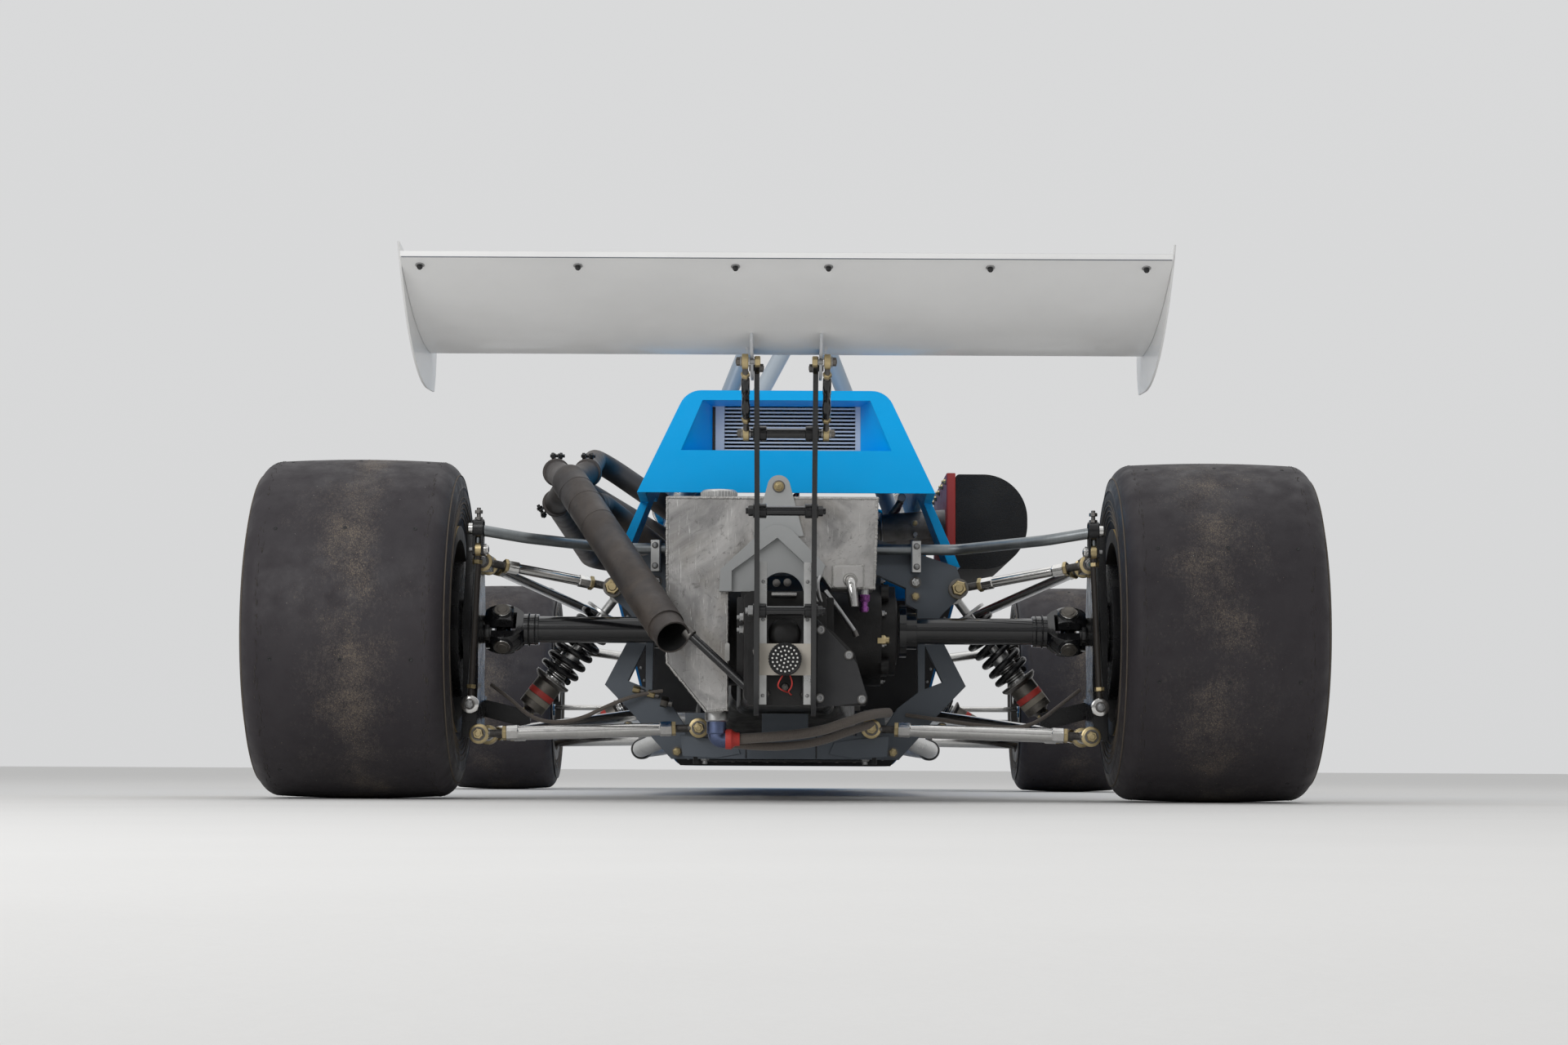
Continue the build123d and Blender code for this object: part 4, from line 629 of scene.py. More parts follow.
def tyre(end, side_name, side):
    """A slick tyre with moulded ridges, worn dimples and torn rubber picked up on its tread."""
    radius, width, tread, _, centre_x, forward = TYRES[end]
    half = tyre_profile(end)
    whole = half + [(-x, r) for x, r in reversed(half[:-1])]
    centre = at(centre_x * side, forward, radius)
    made = Mesh()
    count = len(whole)
    points, faces = [], {"wall": [], "tread": []}
    for i, out in enumerate(spokes(TYRE_SIDES)):
        points += [centre + at(x, 0, 0) + out * r for x, r in whole]
        a, b = i * count, ((i + 1) % TYRE_SIDES) * count
        for j in range(count - 1):
            on_tread = min(whole[j][1], whole[j + 1][1]) > radius - SHOULDER[end] * 0.55
            faces["tread" if on_tread else "wall"].append((a + j, b + j, b + j + 1, a + j + 1))
    for kind, kind_faces in faces.items():
        made.add(points, kind_faces, kind)
    rng = random.Random(f"{end}{side_name}")
    flecks, edges = FLECKS[end]
    for _ in range(flecks):
        a = rng.uniform(0, 2 * math.pi)
        x = rng.gauss(0, 0.22) * tread
        out, around = at(0, math.cos(a), math.sin(a)), at(0, -math.sin(a), math.cos(a))
        if abs(x) > tread / 2 or out.z < GROUND_SIDE:
            continue
        lump = rng.uniform(0.5, 1.6)
        spread = rng.uniform(0.8, 2.4)
        foot = centre + at(x, 0, 0) + out * (radius - 4 * (2 * x / tread) ** 2 - 0.9)
        turn = rng.uniform(0, math.pi)
        long_way = (RIGHT * math.cos(turn) + around * math.sin(turn)) * lump * spread
        short_way = (around * math.cos(turn) - RIGHT * math.sin(turn)) * lump * 0.7
        kind = rng.choices(("chip", "straw", "crumb"), (5, 45, 50))[0]
        made.flake(foot, long_way, short_way, foot + out * (min(lump * 0.5, 0.8) + 0.7), kind)
    for ridge in RIDGES[end]:
        x = min(along_profile(half, ridge, 1), width / 2 - 1.6)
        for face in (-1, 1):
            made.ring(centre + at(face * x, 0, 0), RIGHT, ridge, 1.5, "ridge", 120, 6)
    for _ in range(edges):
        a = rng.uniform(0, 2 * math.pi)
        x = tread / 2 + rng.gauss(0, 3.2)
        face = rng.choice((-1, 1))
        out, around = at(0, math.cos(a), math.sin(a)), at(0, -math.sin(a), math.cos(a))
        foot = centre + at(face * x, 0, 0) + out * (along_profile(half, x, 0) - 0.5)
        long_way, short_way = around * rng.uniform(3, 11), RIGHT * rng.uniform(0.6, 1.5)
        made.flake(foot, long_way, short_way, foot + out * 1.5, "crumb")
    for row in range(WEAR_ROWS):
        a = math.radians(WEAR_TURN[side_name] + row * 360 / WEAR_ROWS)
        out = at(0, -math.cos(a), math.sin(a))
        for x in (-0.42, 0, 0.42):
            foot = centre + at(x * tread, 0, 0) + out * (radius - 4 * (2 * x) ** 2)
            made.lathe(foot, out, [(-2, 3.0), (0.4, 3.4), (0.6, 2.6), (0.2, 2.2)], "rubber", 12)
    made.make(f"slick_{end}_{side_name}", "tyre_rubber", f"{end}_wheel_{side_name}",
              [f"{end}_tyre_{side_name}"], 50)


def wheel_details(end, side_name, side):
    """Rim bolts, spoke bolts, a dark sleeve inside the barrel as painted shade, the centre nut and the valve
    of a wheel.
    """
    radius, _, _, seat, centre_x, forward = TYRES[end]
    face_x = centre_x + HUB_OUT[end] + 25
    edge_x = centre_x + seat
    out = RIGHT * side
    made = Mesh()

    def spot(x, lift=0):
        return at(x * side, forward, radius + lift)

    for i, away in enumerate(spokes(16, 0.5)):
        made.bolt(spot(edge_x + 8) + away * 172, out, 3.2, "steel")
        if i % 2 == 0:
            inner = spot(face_x) + away * 146
            made.rod(inner - out * 6, inner + out * 2, 5, "gold", 12)
    for away in spokes(4, 0.5):
        made.bolt(spot(face_x) + away * 47, out, 8, "steel", stud=True)
    inner_edge = centre_x - seat - 8.4
    # Painted shade: a nearly black sleeve over the barrel's inside and its inner flange, much darker than the
    # wheel's gold.
    barrel_shade = [(0, 180.4), (0, 156.2), (0.6, 156.6), (face_x - 17 - inner_edge, 156.6)]
    made.lathe(spot(inner_edge), out, barrel_shade, "bronze", 96, caps=False)
    made.lathe(spot(face_x + 18.5), out, [(0, 24), (3, 22), (4, 12)], "steel")
    made.rod(spot(edge_x - 4, 150), spot(edge_x + 6, 148), 4, "rubber")
    made.make(f"wheel_bolts_{end}_{side_name}", "bare_steel", f"{end}_wheel_{side_name}")


def brake_disc(end, side_name, side):
    """Swept faces, drilled holes and vents laid over the plain disc."""
    radius, _, _, _, centre_x, forward = TYRES[end]
    reach = {"rear": 120, "front": 115}[end]
    low = centre_x + HUB_OUT[end] - 84
    made = Mesh()
    for x, face in ((low, -1), (low + 14, 1)):
        start, axis = at((x + face * 0.25) * side, forward, radius), RIGHT * face * side
        made.lathe(start, axis, [(0, reach - 1), (0.4, reach - 2), (0.4, 78), (-0.2, 77)], "rust", 72)
        for i, away in enumerate(spokes(24)):
            hole = start + away * (88 + (i % 3) * 9)
            made.drum(hole + axis * 0.42, axis, 3.4, 0.1, "black", 12, 3.0)
    for away in spokes(36):
        made.brick(at((low + 7) * side, forward, radius) + away * reach, (3, 3.5, 3.5), "black", 0.5)
    made.make(f"disc_faces_{end}_{side_name}", "bare_steel", f"{end}_wheel_{side_name}")


def caliper_details(end, side_name, side):
    """Bridge bolts, pad pins, piston ends and a bleed screw on each caliper."""
    if end == "rear":
        x, forward, z, sign, body = 680, 112, 295, 1, "chassis"
    else:
        x, forward, z, sign, body = 637, WHEELBASE - 107, 254, -1, f"steered_upright_{side_name}"
    made = Mesh()

    def spot(dx, step, dz):
        return at((x + dx) * side, forward + step, z + dz)

    for dz in (-34, 34):
        for dx in (-17, 17):
            made.bolt(spot(dx, sign * 28, dz), (0, sign, 0), 4.5, "zinc", "dull")
    for dz in (-14, 14):
        made.rod(spot(-26, sign * 16, dz), spot(26, sign * 16, dz), 2.2, "steel", 10)
    made.rod(spot(-20, 0, 46), spot(-20, 0, 58), 3.5, "zinc", 10)
    for dz in (-20, 20):
        made.rod(spot(-27.2, 0, dz), spot(-25.8, 0, dz), 17, "cast", 24)
    made.make(f"caliper_trim_{end}_{side_name}", "bare_steel", body)


# Suspension

# Top eye, low eye, body radius, spring radius, shares of the length where the spring starts and ends,
# radius of its wire, turns
DAMPERS = {
    "rear": ((300, 118, 362), (466, 118, 143), 24, 37, 0.16, 0.68, 5.6, 6.5),
    "front": ((213.5, WHEELBASE, 312), (500, WHEELBASE, 150), 20, 31, 0.16, 0.70, 4.6, 8.5),
}


def spring_and_damper(end, side_name, side):
    """A real coil round a damper whose body has a gaiter, ring nuts and two plain bands."""
    top, low, r, reach, start_share, end_share, wire, turns = DAMPERS[end]
    top, low = mirrored(top, side), mirrored(low, side)
    span = low - top
    unit = span.normalized()
    across = unit.orthogonal().normalized()
    up = unit.cross(across)
    start, length = top + span * start_share, span.length * (end_share - start_share)
    coil = Mesh()
    route = []
    steps = int(turns * 28)
    for i in range(steps + 1):
        t = i / steps
        a = 2 * math.pi * turns * t
        flat = min(1, t * turns / 0.9, (1 - t) * turns / 0.9)
        along = wire + (length - 2 * wire) * (0.5 + (t - 0.5) * (0.94 + 0.06 * flat))
        route.append(start + unit * along + (across * math.cos(a) + up * math.sin(a)) * (reach - wire - 0.4))
    coil.tube(route, wire, "black", 10)
    coil.make(f"coil_{end}_{side_name}", "black_paint")
    trim = Mesh()
    seat = start + unit * length
    gaiter, gaiter_length = r * 0.72, length * 0.42
    trim.lathe(start - unit * 6, unit, [(0, reach - 8), (2, reach - 3), (5, reach - 3)], "alloy", 32)
    trim.rod(start, seat, 7.5, "plate", 18)
    gaiter_shape = [(0, 10), (2, gaiter), (gaiter_length, gaiter)]
    trim.lathe(seat - unit * gaiter_length, unit, gaiter_shape, "alloy", 28)
    for i in range(9):
        trim.ring(seat - unit * (4 + i * 4.5), unit, gaiter, 1.2, "dull", 28, 6)
    trim.lathe(seat, unit, [(0, reach - 3), (4, reach - 2.6), (9, reach - 7), (12, r + 1)], "dull", 32)
    body_end = span.length * (1 - end_share) - 24
    trim.drum(seat + unit * 6, unit, r + 0.3, body_end * 0.92, "can", 32)
    trim.drum(seat + unit * body_end * 0.46, unit, r + 0.6, body_end * 0.17, "red", 32)
    trim.drum(seat + unit * body_end * 0.65, unit, r + 0.6, body_end * 0.16, "label", 32)
    base = [(-6, r * 1.02), (0, r * 0.9), (5, r * 0.55), (10, r * 0.42)]
    trim.lathe(seat + unit * body_end, unit, base, "dull", 28)
    trim.drum(low - unit * 18, unit, 12, 6, "zinc", 6)
    trim.make(f"damper_trim_{end}_{side_name}", "bare_aluminium")


# Outer end, inner end, tube radius, and whether the inner end has a bearing too
LINKS = [
    ((525, -79.3, 112), (148, -69.3, 124), 11, True),
    ((525, 79.3, 112), (148, 130.3, 124), 11, True),
    ((525, -54.3, 410), (304, 50.7, 372), 9, True),
    ((525, 54.3, 410), (288, 899.7, 322), 9, False),
    ((525, 98.9, 112), (255, 899.7, 168), 11, False),
]


def rod_end(made, eye, toward):
    """A spherical bearing in its ring, with a threaded shank and a lock nut along the link."""
    made.collar(eye - FORWARD * 6.2, FORWARD, 17.2, 12.4, 2.2, "zinc", 28)
    made.collar(eye - FORWARD * 7.2, FORWARD, 13.5, 14.4, 3, "plate", 24, 3)
    made.drum(eye - FORWARD * 9, FORWARD, 9.5, 18, "steel", 20)
    made.rod(eye + toward * 14, eye + toward * 46, 6.4, "dull", 14)
    for i in range(9):
        made.ring(eye + toward * (20 + i * 2.2), toward, 6.4, 0.7, "dull", 16, 5)
    made.hexagon(eye + toward * 40, toward, 12.5, 7, "zinc")


def links(side_name, side):
    """Plated tubes with hexagon ends between rod ends, the radius rods bolted to the tub."""
    made = Mesh()
    for outer, inner, r, both_ends in LINKS:
        a, b = mirrored(outer, side), mirrored(inner, side)
        unit = (b - a).normalized()
        rod_end(made, a, unit)
        finish = (b - a).length - (47 if both_ends else 20)
        end_piece = [(46.5, r * 1.05), (47, r * 1.20), (66, r * 1.20), (68, r)]
        made.lathe(a, unit, [(47, r * 0.80), (48, r), (finish - 1, r), (finish, r * 0.80)], "plate", 28)
        made.lathe(a, unit, end_piece, "plate", 6)
        if both_ends:
            rod_end(made, b, -unit)
            made.lathe(b, -unit, end_piece, "plate", 6)
        else:
            made.box(b - at(18, 26, 18), b + at(18, 0, 18), "dull", 2)
            for dx, dz in ((-11, -11), (11, 11), (-11, 11), (11, -11)):
                made.bolt(b + at(dx, -26, dz), REAR, 3.8, "zinc")
    made.make(f"links_{side_name}", "bright_plate")


def cross_member_details():
    """Seams, doubler plates, the skid plate below and its feet on the rear cross member."""
    made = Mesh()
    for x in (-67, 54):
        made.box((x - 1.0, -61.0, 72), (x + 1.0, -59.5, 111), "black", 0.2)
    for side in (-1, 1):
        doubler = [(76, 80), (120, 72), (176, 76), (180, 112), (120, 106), (84, 100)]
        made.slab([(x * side, -60, z) for x, z in doubler], REAR * 2.5, "frame", 0.6)
    made.box((-146, -50, 67), (146, 92, 71), "black", 1)
    for i in range(9):
        made.drum((-120 + i * 30, -40, 67), DOWN, 3.4, 1.6, "dull", 12, 2.8)
    for side in (-1, 1):
        made.rod((150 * side, -30, 80), (150 * side, -30, 62), 9, "rubber", 20)
        made.hexagon((138 * side, -52, 80), DOWN, 8, 12, "steel")
        made.rod((138 * side, -52, 70), (138 * side, -52, 62), 4.5, "steel", 14)
    made.make("cross_member_trim", "grey_paint")


# Place, way it faces (1 is forward), radius and finish of each bolt on a rear suspension pin
PIVOT_BOLTS = [
    ((525, -94, 112), -1, 9, "zinc"), ((525, 118, 112), 1, 9, "zinc"), ((148, -86, 124), -1, 9, "zinc"),
    ((148, 147, 124), 1, 9, "zinc"), ((525, -65, 410), -1, 9, "steel"), ((525, 65, 410), 1, 9, "steel"),
    ((304, 34, 372), -1, 13, "zinc"), ((300, 132, 362), 1, 9, "zinc"), ((466, 130, 143), 1, 8, "zinc"),
    ((538, -122, 162), -1, 7, "steel"), ((229, 60, 384), -1, 7.5, "plate"), ((229, 60, 359), -1, 6.5, "zinc"),
    ((276, 60, 128), -1, 7, "zinc"), ((190, 60, 84), -1, 7, "zinc"),
]


def pivot_bolts(side_name, side):
    """Bolt heads and nuts on every suspension pin at the rear, and the anti-roll bar's holder plate."""
    made = Mesh()
    for place, way, radius, kind in PIVOT_BOLTS:
        made.bolt(mirrored(place, side), FORWARD * way, radius, kind, "dull")
    made.brick(at(229.5 * side, 21, 427), (7.5, 2, 27.5), "alloy", 0.8)
    for z in (409, 445):
        made.bolt((229.5 * side, 18.8, z), REAR, 4.2, "steel", "dull")
    made.make(f"pivot_bolts_{side_name}", "bare_steel")


def drop_link(side_name, side):
    """The clamp at the bar's end, its rod ends and the thin plated link down to the upright."""
    made = Mesh()
    end, foot = mirrored((527, -110, 463), side), mirrored((538, -110, 162), side)
    unit = (foot - end).normalized()
    out = RIGHT * side
    for dx in (-9.5, 4.5):
        made.box(end + at(dx, -11, -46), end + at(dx + 5, 11, 14), "black", 1.5)
    made.collar(end - out * 9.5, out, 16.6, 19, 1.6, "black", 28)
    made.rod(end + UP * 10, end + UP * 36, 3.5, "dull")
    for lift in (14, 26):
        made.hexagon(end + UP * lift, UP, 7.2, 6, "dull")
    ball = end - UP * 36
    made.collar(ball - out * 6, out, 12.5, 12, 2, "zinc")
    made.drum(ball - out * 8.5, out, 7, 17, "plate", 20)
    made.bolt(ball - out * 9.5, -out, 7, "plate", "plate")
    for reach in (11, 12.8):
        made.drum(ball - out * reach, -out, 10.2, 1.2, "plate")
    made.rod(ball - out, ball + out * 16, 4, "steel")
    made.hexagon(ball + unit * 18, unit, 8.5, 7, "zinc")
    made.rod(ball + unit * 10, foot - unit * 12, 6, "bronze", 20)
    made.hexagon(foot - unit * 34, unit, 8.5, 7, "zinc")
    made.collar(foot + REAR * 6.5, FORWARD, 15.2, 13, 3.2, "plate", 28)
    made.rod(end - out * 4, end + out * 18, 9.7, "plate", 24)
    made.make(f"drop_link_{side_name}", "bright_plate")


def joint_caps(side_name, side):
    """Bearing caps, snap rings and ears on the driveshaft's outer joint, turning with the wheel."""
    made = Mesh()
    centre = at(492 * side, 0, 295)
    cup = [(0, 19.5), (11, 19.5), (13.5, 17.5), (13.5, 16), (15, 16), (15, 14.2)]
    cap = [(0, 14.2), (3.2, 13.6), (3.2, 9), (4, 8.5), (4.2, 2)]
    for turn, away in enumerate(spokes(4, 0.5)):
        made.lathe(centre + away * 30, away, cup, "black", 36)
        made.lathe(centre + away * 44.2, away, cap, "can", 32)
        first = math.radians(45 + 90 * turn)
        made.ring(centre + away * 45.5, away, 14, 1, "plate", 28, 6, 5.4, first)
    shaft = RIGHT * -side
    for out, radius in ((45, 28.5), (56, 26.8)):
        made.ring(centre + shaft * out, shaft, radius, 1.4, "black", 40, 8)
    made.make(f"joint_caps_{side_name}", "bare_steel", f"rear_wheel_{side_name}")


def front_bolts(side_name, side):
    """Ball joint nuts, wishbone pivots and damper bolts at the front."""
    moving, fixed = Mesh(), Mesh()
    for z, up in ((370, 1), (106, -1)):
        moving.bolt((600 * side, WHEELBASE, z), UP * up, 8.5, "zinc", "steel", stud=True)
    moving.make(f"ball_joint_nuts_{side_name}", "bare_steel", f"steered_upright_{side_name}")
    for spread, z in ((140, 125), (130, 300)):
        for turn in (-1, 1):
            forward = WHEELBASE + turn * spread
            for end in (-1, 1):
                place = ((tub_half(forward) + 12) * side, forward + end * 14, z)
                fixed.bolt(place, FORWARD * end, 7.5, "zinc")
    for end in (-1, 1):
        for x, reach, z in ((213.5, 17, 312), (500, 9.3, 150)):
            fixed.bolt((x * side, WHEELBASE + end * reach, z), FORWARD * end, 7, "zinc")
    fixed.make(f"front_pivots_{side_name}", "bare_steel")


# Tail: wing, posts, tank, lamp

WING_HALF = 550
# The wing's section in three parts, its screws across, its rivets along, and its rib: (forward, height)
WING_UNDER = [(-1075, 779.5), (-1010, 753.5), (-940, 729.5), (-870, 711.5), (-800, 700), (-730, 694.2),
              (-680, 693.2)]
WING_NOSE = [(-658, 694.8), (-645, 700), (-640, 708), (-643, 718), (-652, 727), (-668, 734)]
WING_OVER = [(-760, 744), (-870, 751), (-980, 768), (-1060, 784.8), (-1075, 787.5)]
WING_SCREWS = (-524, -298, -73, 60, 291, 514)
RIB_RIVETS = (-690, -704, -718, -732, -746, -840, -905, -960)
RIB = [(-680, 652), (-680, 694), (-730, 695), (-800, 701), (-835, 706.5), (-833, 692), (-772, 654),
       (-742, 650)]
LINK_TOP, LINK_LOW = (62, -800, 666), (62, -640, 574)


def under_wing(forward):
    """The height of the wing's underside."""
    for (f0, z0), (f1, z1) in zip(WING_UNDER, WING_UNDER[1:]):
        if forward <= f1:
            return z0 + (z1 - z0) * (forward - f0) / (f1 - f0)


def wing_skin():
    """The wing's sheet skin with its folded tail, a painted shadow line along its crease, and the rivets of
    its ribs.
    """
    made = Mesh()
    section = smooth_route([(0, *p) for p in WING_UNDER + WING_NOSE + WING_OVER], 5)
    made.loops([[p + RIGHT * x for p in section] for x in (-WING_HALF, -300, 0, 300, WING_HALF)], "white")
    # Painted shadow: a thin dark line along the tail's crease.
    made.box((-548, -1075.4, 778.2), (548, -1074.2, 779.4), "frame", 0.0)
    for side in (-1, 1):
        for forward in RIB_RIVETS:
            spot = at(60 * side, forward, under_wing(forward) + 0.4)
            made.lathe(spot, DOWN, [(0, 3), (0.8, 2.8), (1.4, 1.6)], "white", 14)
    made.make("wing_skin", "white_paint", replaces=["rear_wing"])


def wing_screws():
    """Button screws with dark nuts under the wing's tail."""
    made = Mesh()
    down = at(0, -0.36, -0.93).normalized()
    for x in WING_SCREWS:
        foot = at(x, -1053, under_wing(-1053))
        made.lathe(foot - down * 2, down, [(0, 6.6), (3, 6.6), (3.6, 5.8)], "steel")
        made.lathe(foot + down * 1.6, down, [(0, 4.2), (3.4, 4), (5.2, 2.6)], "black", 16)
    made.make("wing_screws", "bare_steel")


def wing_adjusters():
    """The wing's rib plates, and the sleeved links with rod ends that set its angle."""
    made = Mesh()
    sleeve = [(0, 5.4), (2, 6.6), (30, 6.6), (31, 6), (60, 6), (61, 6.6), (96, 6.6), (98, 5.4)]
    for side in (-1, 1):
        out = RIGHT * side
        made.slab([(50.2 * side, *p) for p in RIB], out * 4.4, "cooler", 0.6)
        low, top = mirrored(LINK_LOW, side), mirrored(LINK_TOP, side)
        unit = (top - low).normalized()
        made.rod(low + unit * 10, top - unit * 10, 4.4, "dull")
        made.lathe(low + unit * 44, unit, sleeve, "gloss")
        made.hexagon(low + unit * 34, unit, 7, 7, "zinc")
        made.hexagon(top - unit * 36, unit, 7, 7, "zinc")
        for eye in (low, top):
            made.collar(eye - out * 5, out, 11.5, 10, 1.5, "zinc", 28)
            made.drum(eye - out * 6.6, out, 6.8, 13.2, "plate", 20)
            made.bolt(eye + out * 6.2, out, 6.2, "can")
        made.rod(top - out * 20, top, 4, "steel")
        made.hexagon(top - out * 15, -out, 8.5, 8, "zinc")
        made.rod(low - out * 12, low, 5, "steel")
    made.make("adjuster_links", "bare_steel", replaces=["wing_adjusters"])


# Forward place and height of each tie
POST_TIES = ((-545, 303), (-570, 459), LINK_LOW[1:])


def post_hardware():
    """Collars, washers and nuts where the ties pass the posts."""
    made = Mesh()
    for forward, z in POST_TIES:
        for side in (-1, 1):
            out = RIGHT * side
            face = at(49 * side, forward, z)
            made.lathe((41 * side, forward, z), -out, [(0, 11.5), (10, 11.5), (11, 10)], "black")
            made.drum(face, out, 11, 2, "black", 20)
            if (forward, z) != LINK_LOW[1:]:
                nut = "steel" if side < 0 and z == POST_TIES[0][1] else "black"
                made.hexagon(face + out * 2, out, 8.5, 8, nut)
                made.rod(face + out * 10, face + out * 14, 5, nut, 12)
    for side in (-1, 1):
        made.bolt((42 * side, -714, 667), RIGHT * -side, 6, "dull")
    made.make("post_hardware", "black_paint")


def weld_run(made, start, end, size=2.8):
    """A row of overlapping weld scallops between two places, each three numbers."""
    length = (metres(*end) - metres(*start)).length
    start, end = Vector(start), Vector(end)
    count = max(2, int(length / MM / (size * 1.15)))
    rng = random.Random(round(length * 1e6))
    for i in range(count + 1):
        wobble = at(rng.uniform(-1, 1), rng.uniform(-1, 1), rng.uniform(-1, 1)) * size * 0.10
        made.ball(start + (end - start) / count * i + wobble, size * rng.uniform(0.85, 1.1), "weld", 8, 5)


# The tank's face seen from behind, as (across, height)
TANK_OUTLINE = [(-199, 506), (153, 506), (148, 354), (76, 356), (62, 374), (-15, 446), (-97, 380), (-97, 152),
                (-131, 149), (-197, 229)]
TANK_TOP = 506
TANK_REAR = -285


def tank_details():
    """Weld beads round the tank's face, its filler cap, an outlet box and pipe, and its unions."""
    made = Mesh()
    face = [(x * 0.992, TANK_REAR + 1.2, z - (3 if z == TANK_TOP else 0)) for x, z in TANK_OUTLINE]
    for a, b in zip(face, face[1:] + face[:1]):
        weld_run(made, a, b)
    cap = at(-113, -205, 522)
    made.lathe(cap, UP, [(-16, 29.5), (-14, 30), (-2, 30), (0, 28.5), (1, 26)], "alloy", 48)
    for away in spokes(36, 0.0, RIGHT, FORWARD):
        made.brick(cap + away * 30 - UP * 8, (1.2, 1.2, 5), "alloy", 0.3)
    made.box((79, TANK_REAR - 6, 355), (128, TANK_REAR + 2, 391), "tank", 3)
    for a, b in (((79, 356), (79, 391)), ((79, 391), (128, 391)), ((128, 391), (128, 356))):
        weld_run(made, (a[0], TANK_REAR - 2, a[1]), (b[0], TANK_REAR - 2, b[1]), 2.4)
    spout = [(107, TANK_REAR - 2, 368), (108, TANK_REAR - 12, 364), (110, TANK_REAR - 16, 350),
             (113, TANK_REAR - 18, 322)]
    made.tube(smooth_route(spout, 6), 8, "plate", 24)
    made.drum((113, TANK_REAR - 18, 322.2), (0.1, 0, -1), 6, 0.4, "black", 20)
    made.ring((107, TANK_REAR - 6, 367), FORWARD, 8.8, 2.4, "weld", 24, 8)
    made.drum((131, TANK_REAR + 18, 354), DOWN, 7.5, 10, "alloy", 16)
    made.hexagon((131, TANK_REAR + 18, 344), DOWN, 9.5, 12, "purple")
    union = [(0, 6.2), (8, 6.2), (9, 7.8), (15, 7.8), (17, 5)]
    made.lathe((131, TANK_REAR + 18, 332), DOWN, union, "purple", 18)
    made.lathe((-115, -200, 151), DOWN, [(0, 18.5), (2, 19.5), (16, 19.5), (18, 16.5)], "alloy", 32)
    made.box((-100, TANK_REAR - 3, 232), (-92, TANK_REAR + 3, 262), "weld", 2)
    made.make("tank_details", "bare_aluminium")


def bracket_details():
    """The brassy pivot bolt in the tongue, and the flange bolts of the arch."""
    made = Mesh()
    made.drum((-12, -291.3, 522), REAR, 10.5, 1.5, "dull", 28, 10)
    made.bolt((-12, -292.8, 522), REAR, 6.2, "zinc", "zinc")
    for x, z in ((-15, 360), (3, 361)):
        made.bolt((x, -318, z), REAR, 4.8, "dull", "dull")
    made.make("bracket_bolts", "bare_steel")


LAMP_Z = 227
PLATE_FACE = -532.3


def rain_lamp():
    """A black lamp whose flat face carries rings of small bright diodes."""
    made = Mesh()
    shell = [(0, 24), (3, 26), (19.5, 26), (22.5, 25), (22.5, 23.6), (20.5, 23.2), (20.5, 0.2)]
    made.lathe((0, PLATE_FACE, LAMP_Z), REAR, shell, "black", 64)
    for away in spokes(36, 0.0, RIGHT, UP):
        made.brick(at(0, -552, LAMP_Z) + away * 25.8, (0.7, 3, 0.7), "black", 0.2)
    diode = [(0, 1.65), (1.6, 1.65), (2.6, 1.1), (2.9, 0.2)]
    for radius, count in ((0, 1), (6.6, 6), (13.2, 13), (19.8, 19)):
        for away in spokes(count, 0.3, RIGHT, UP):
            made.lathe(at(0, -552.5, LAMP_Z) + away * radius, REAR, diode, "diode", 12)
    made.make("rain_lamp", "lamp", replaces=["rain_light"])


def lamp_plate():
    """The cream plate behind the lamp, and the rivets that hold the strips."""
    made = Mesh()
    made.box((-40.7, PLATE_FACE, 202), (40.7, PLATE_FACE + 0.6, 252), "cream", 0.2)
    for z in (170, 290, 350):
        for x in (-35, 35):
            made.drum((x, -529, z), REAR, 3, 1.2, "steel", 14, 2)
    made.make("lamp_plate", "bare_aluminium")


COOLER_HALF, COOLER_Z = 132, (602, 688)
COOLER_FACES = (-29.7, 14.3)
COOLER_TANKS = (24, 12)
COOLER_ROWS, COOLER_FOLDS = 13, 92


def oil_cooler():
    """Flat oil tubes between header tanks, with folded fins between the rows, and a black sheet inside the
    core as painted shade.
    """
    made = Mesh()
    (z0, z1), (front, back) = COOLER_Z, COOLER_FACES
    left, right = -COOLER_HALF + COOLER_TANKS[0], COOLER_HALF - COOLER_TANKS[1]
    made.box((-COOLER_HALF, front, z0), (left, back, z1), "cooler", 2)
    made.box((right, front, z0), (COOLER_HALF, back, z1), "cooler", 2)
    tubes = [z0 + row * (z1 - z0) / COOLER_ROWS for row in range(COOLER_ROWS + 1)]
    for z in tubes:
        made.box((left, front + 1, max(z - 1.5, z0)), (right, back, min(z + 1.5, z1)), "cooler")
    for below, above in zip(tubes, tubes[1:]):
        points, faces = [], []
        for i in range(COOLER_FOLDS + 1):
            x = left + (right - left) * i / COOLER_FOLDS
            z = below + 1.5 if i % 2 else above - 1.5
            points += [at(x, front + 2.5, z), at(x, back, z)]
            if i:
                faces.append((2 * i - 2, 2 * i, 2 * i + 1, 2 * i - 1))
        made.add(points, faces, "alloy")
    # Painted shade: a black sheet inside the core darkens the gaps between the fins.
    made.box((left, 8, z0 + 1), (right, 10, z1 - 1), "black", 0.0)
    made.box((-COOLER_HALF + 3, front - 0.6, z0), (-COOLER_HALF + 8, front + 0.4, z1 - 4), "black", 0.0)
    made.make("cooler_core", "bare_aluminium", replaces=["oil_cooler"])


# Engine and gearbox

# Across, height and the clamp's turn of each slip joint, and the tailpipe's two ends
EXHAUST_RINGS = ((-409, 524, -150), (-409, 579, 90), (-346, 524, -60), (-354, 579, 90))
TAILPIPE = (at(-377, -30, 551), at(-180, -460, 264))
CYLINDERS = (400, 530, 660, 790)


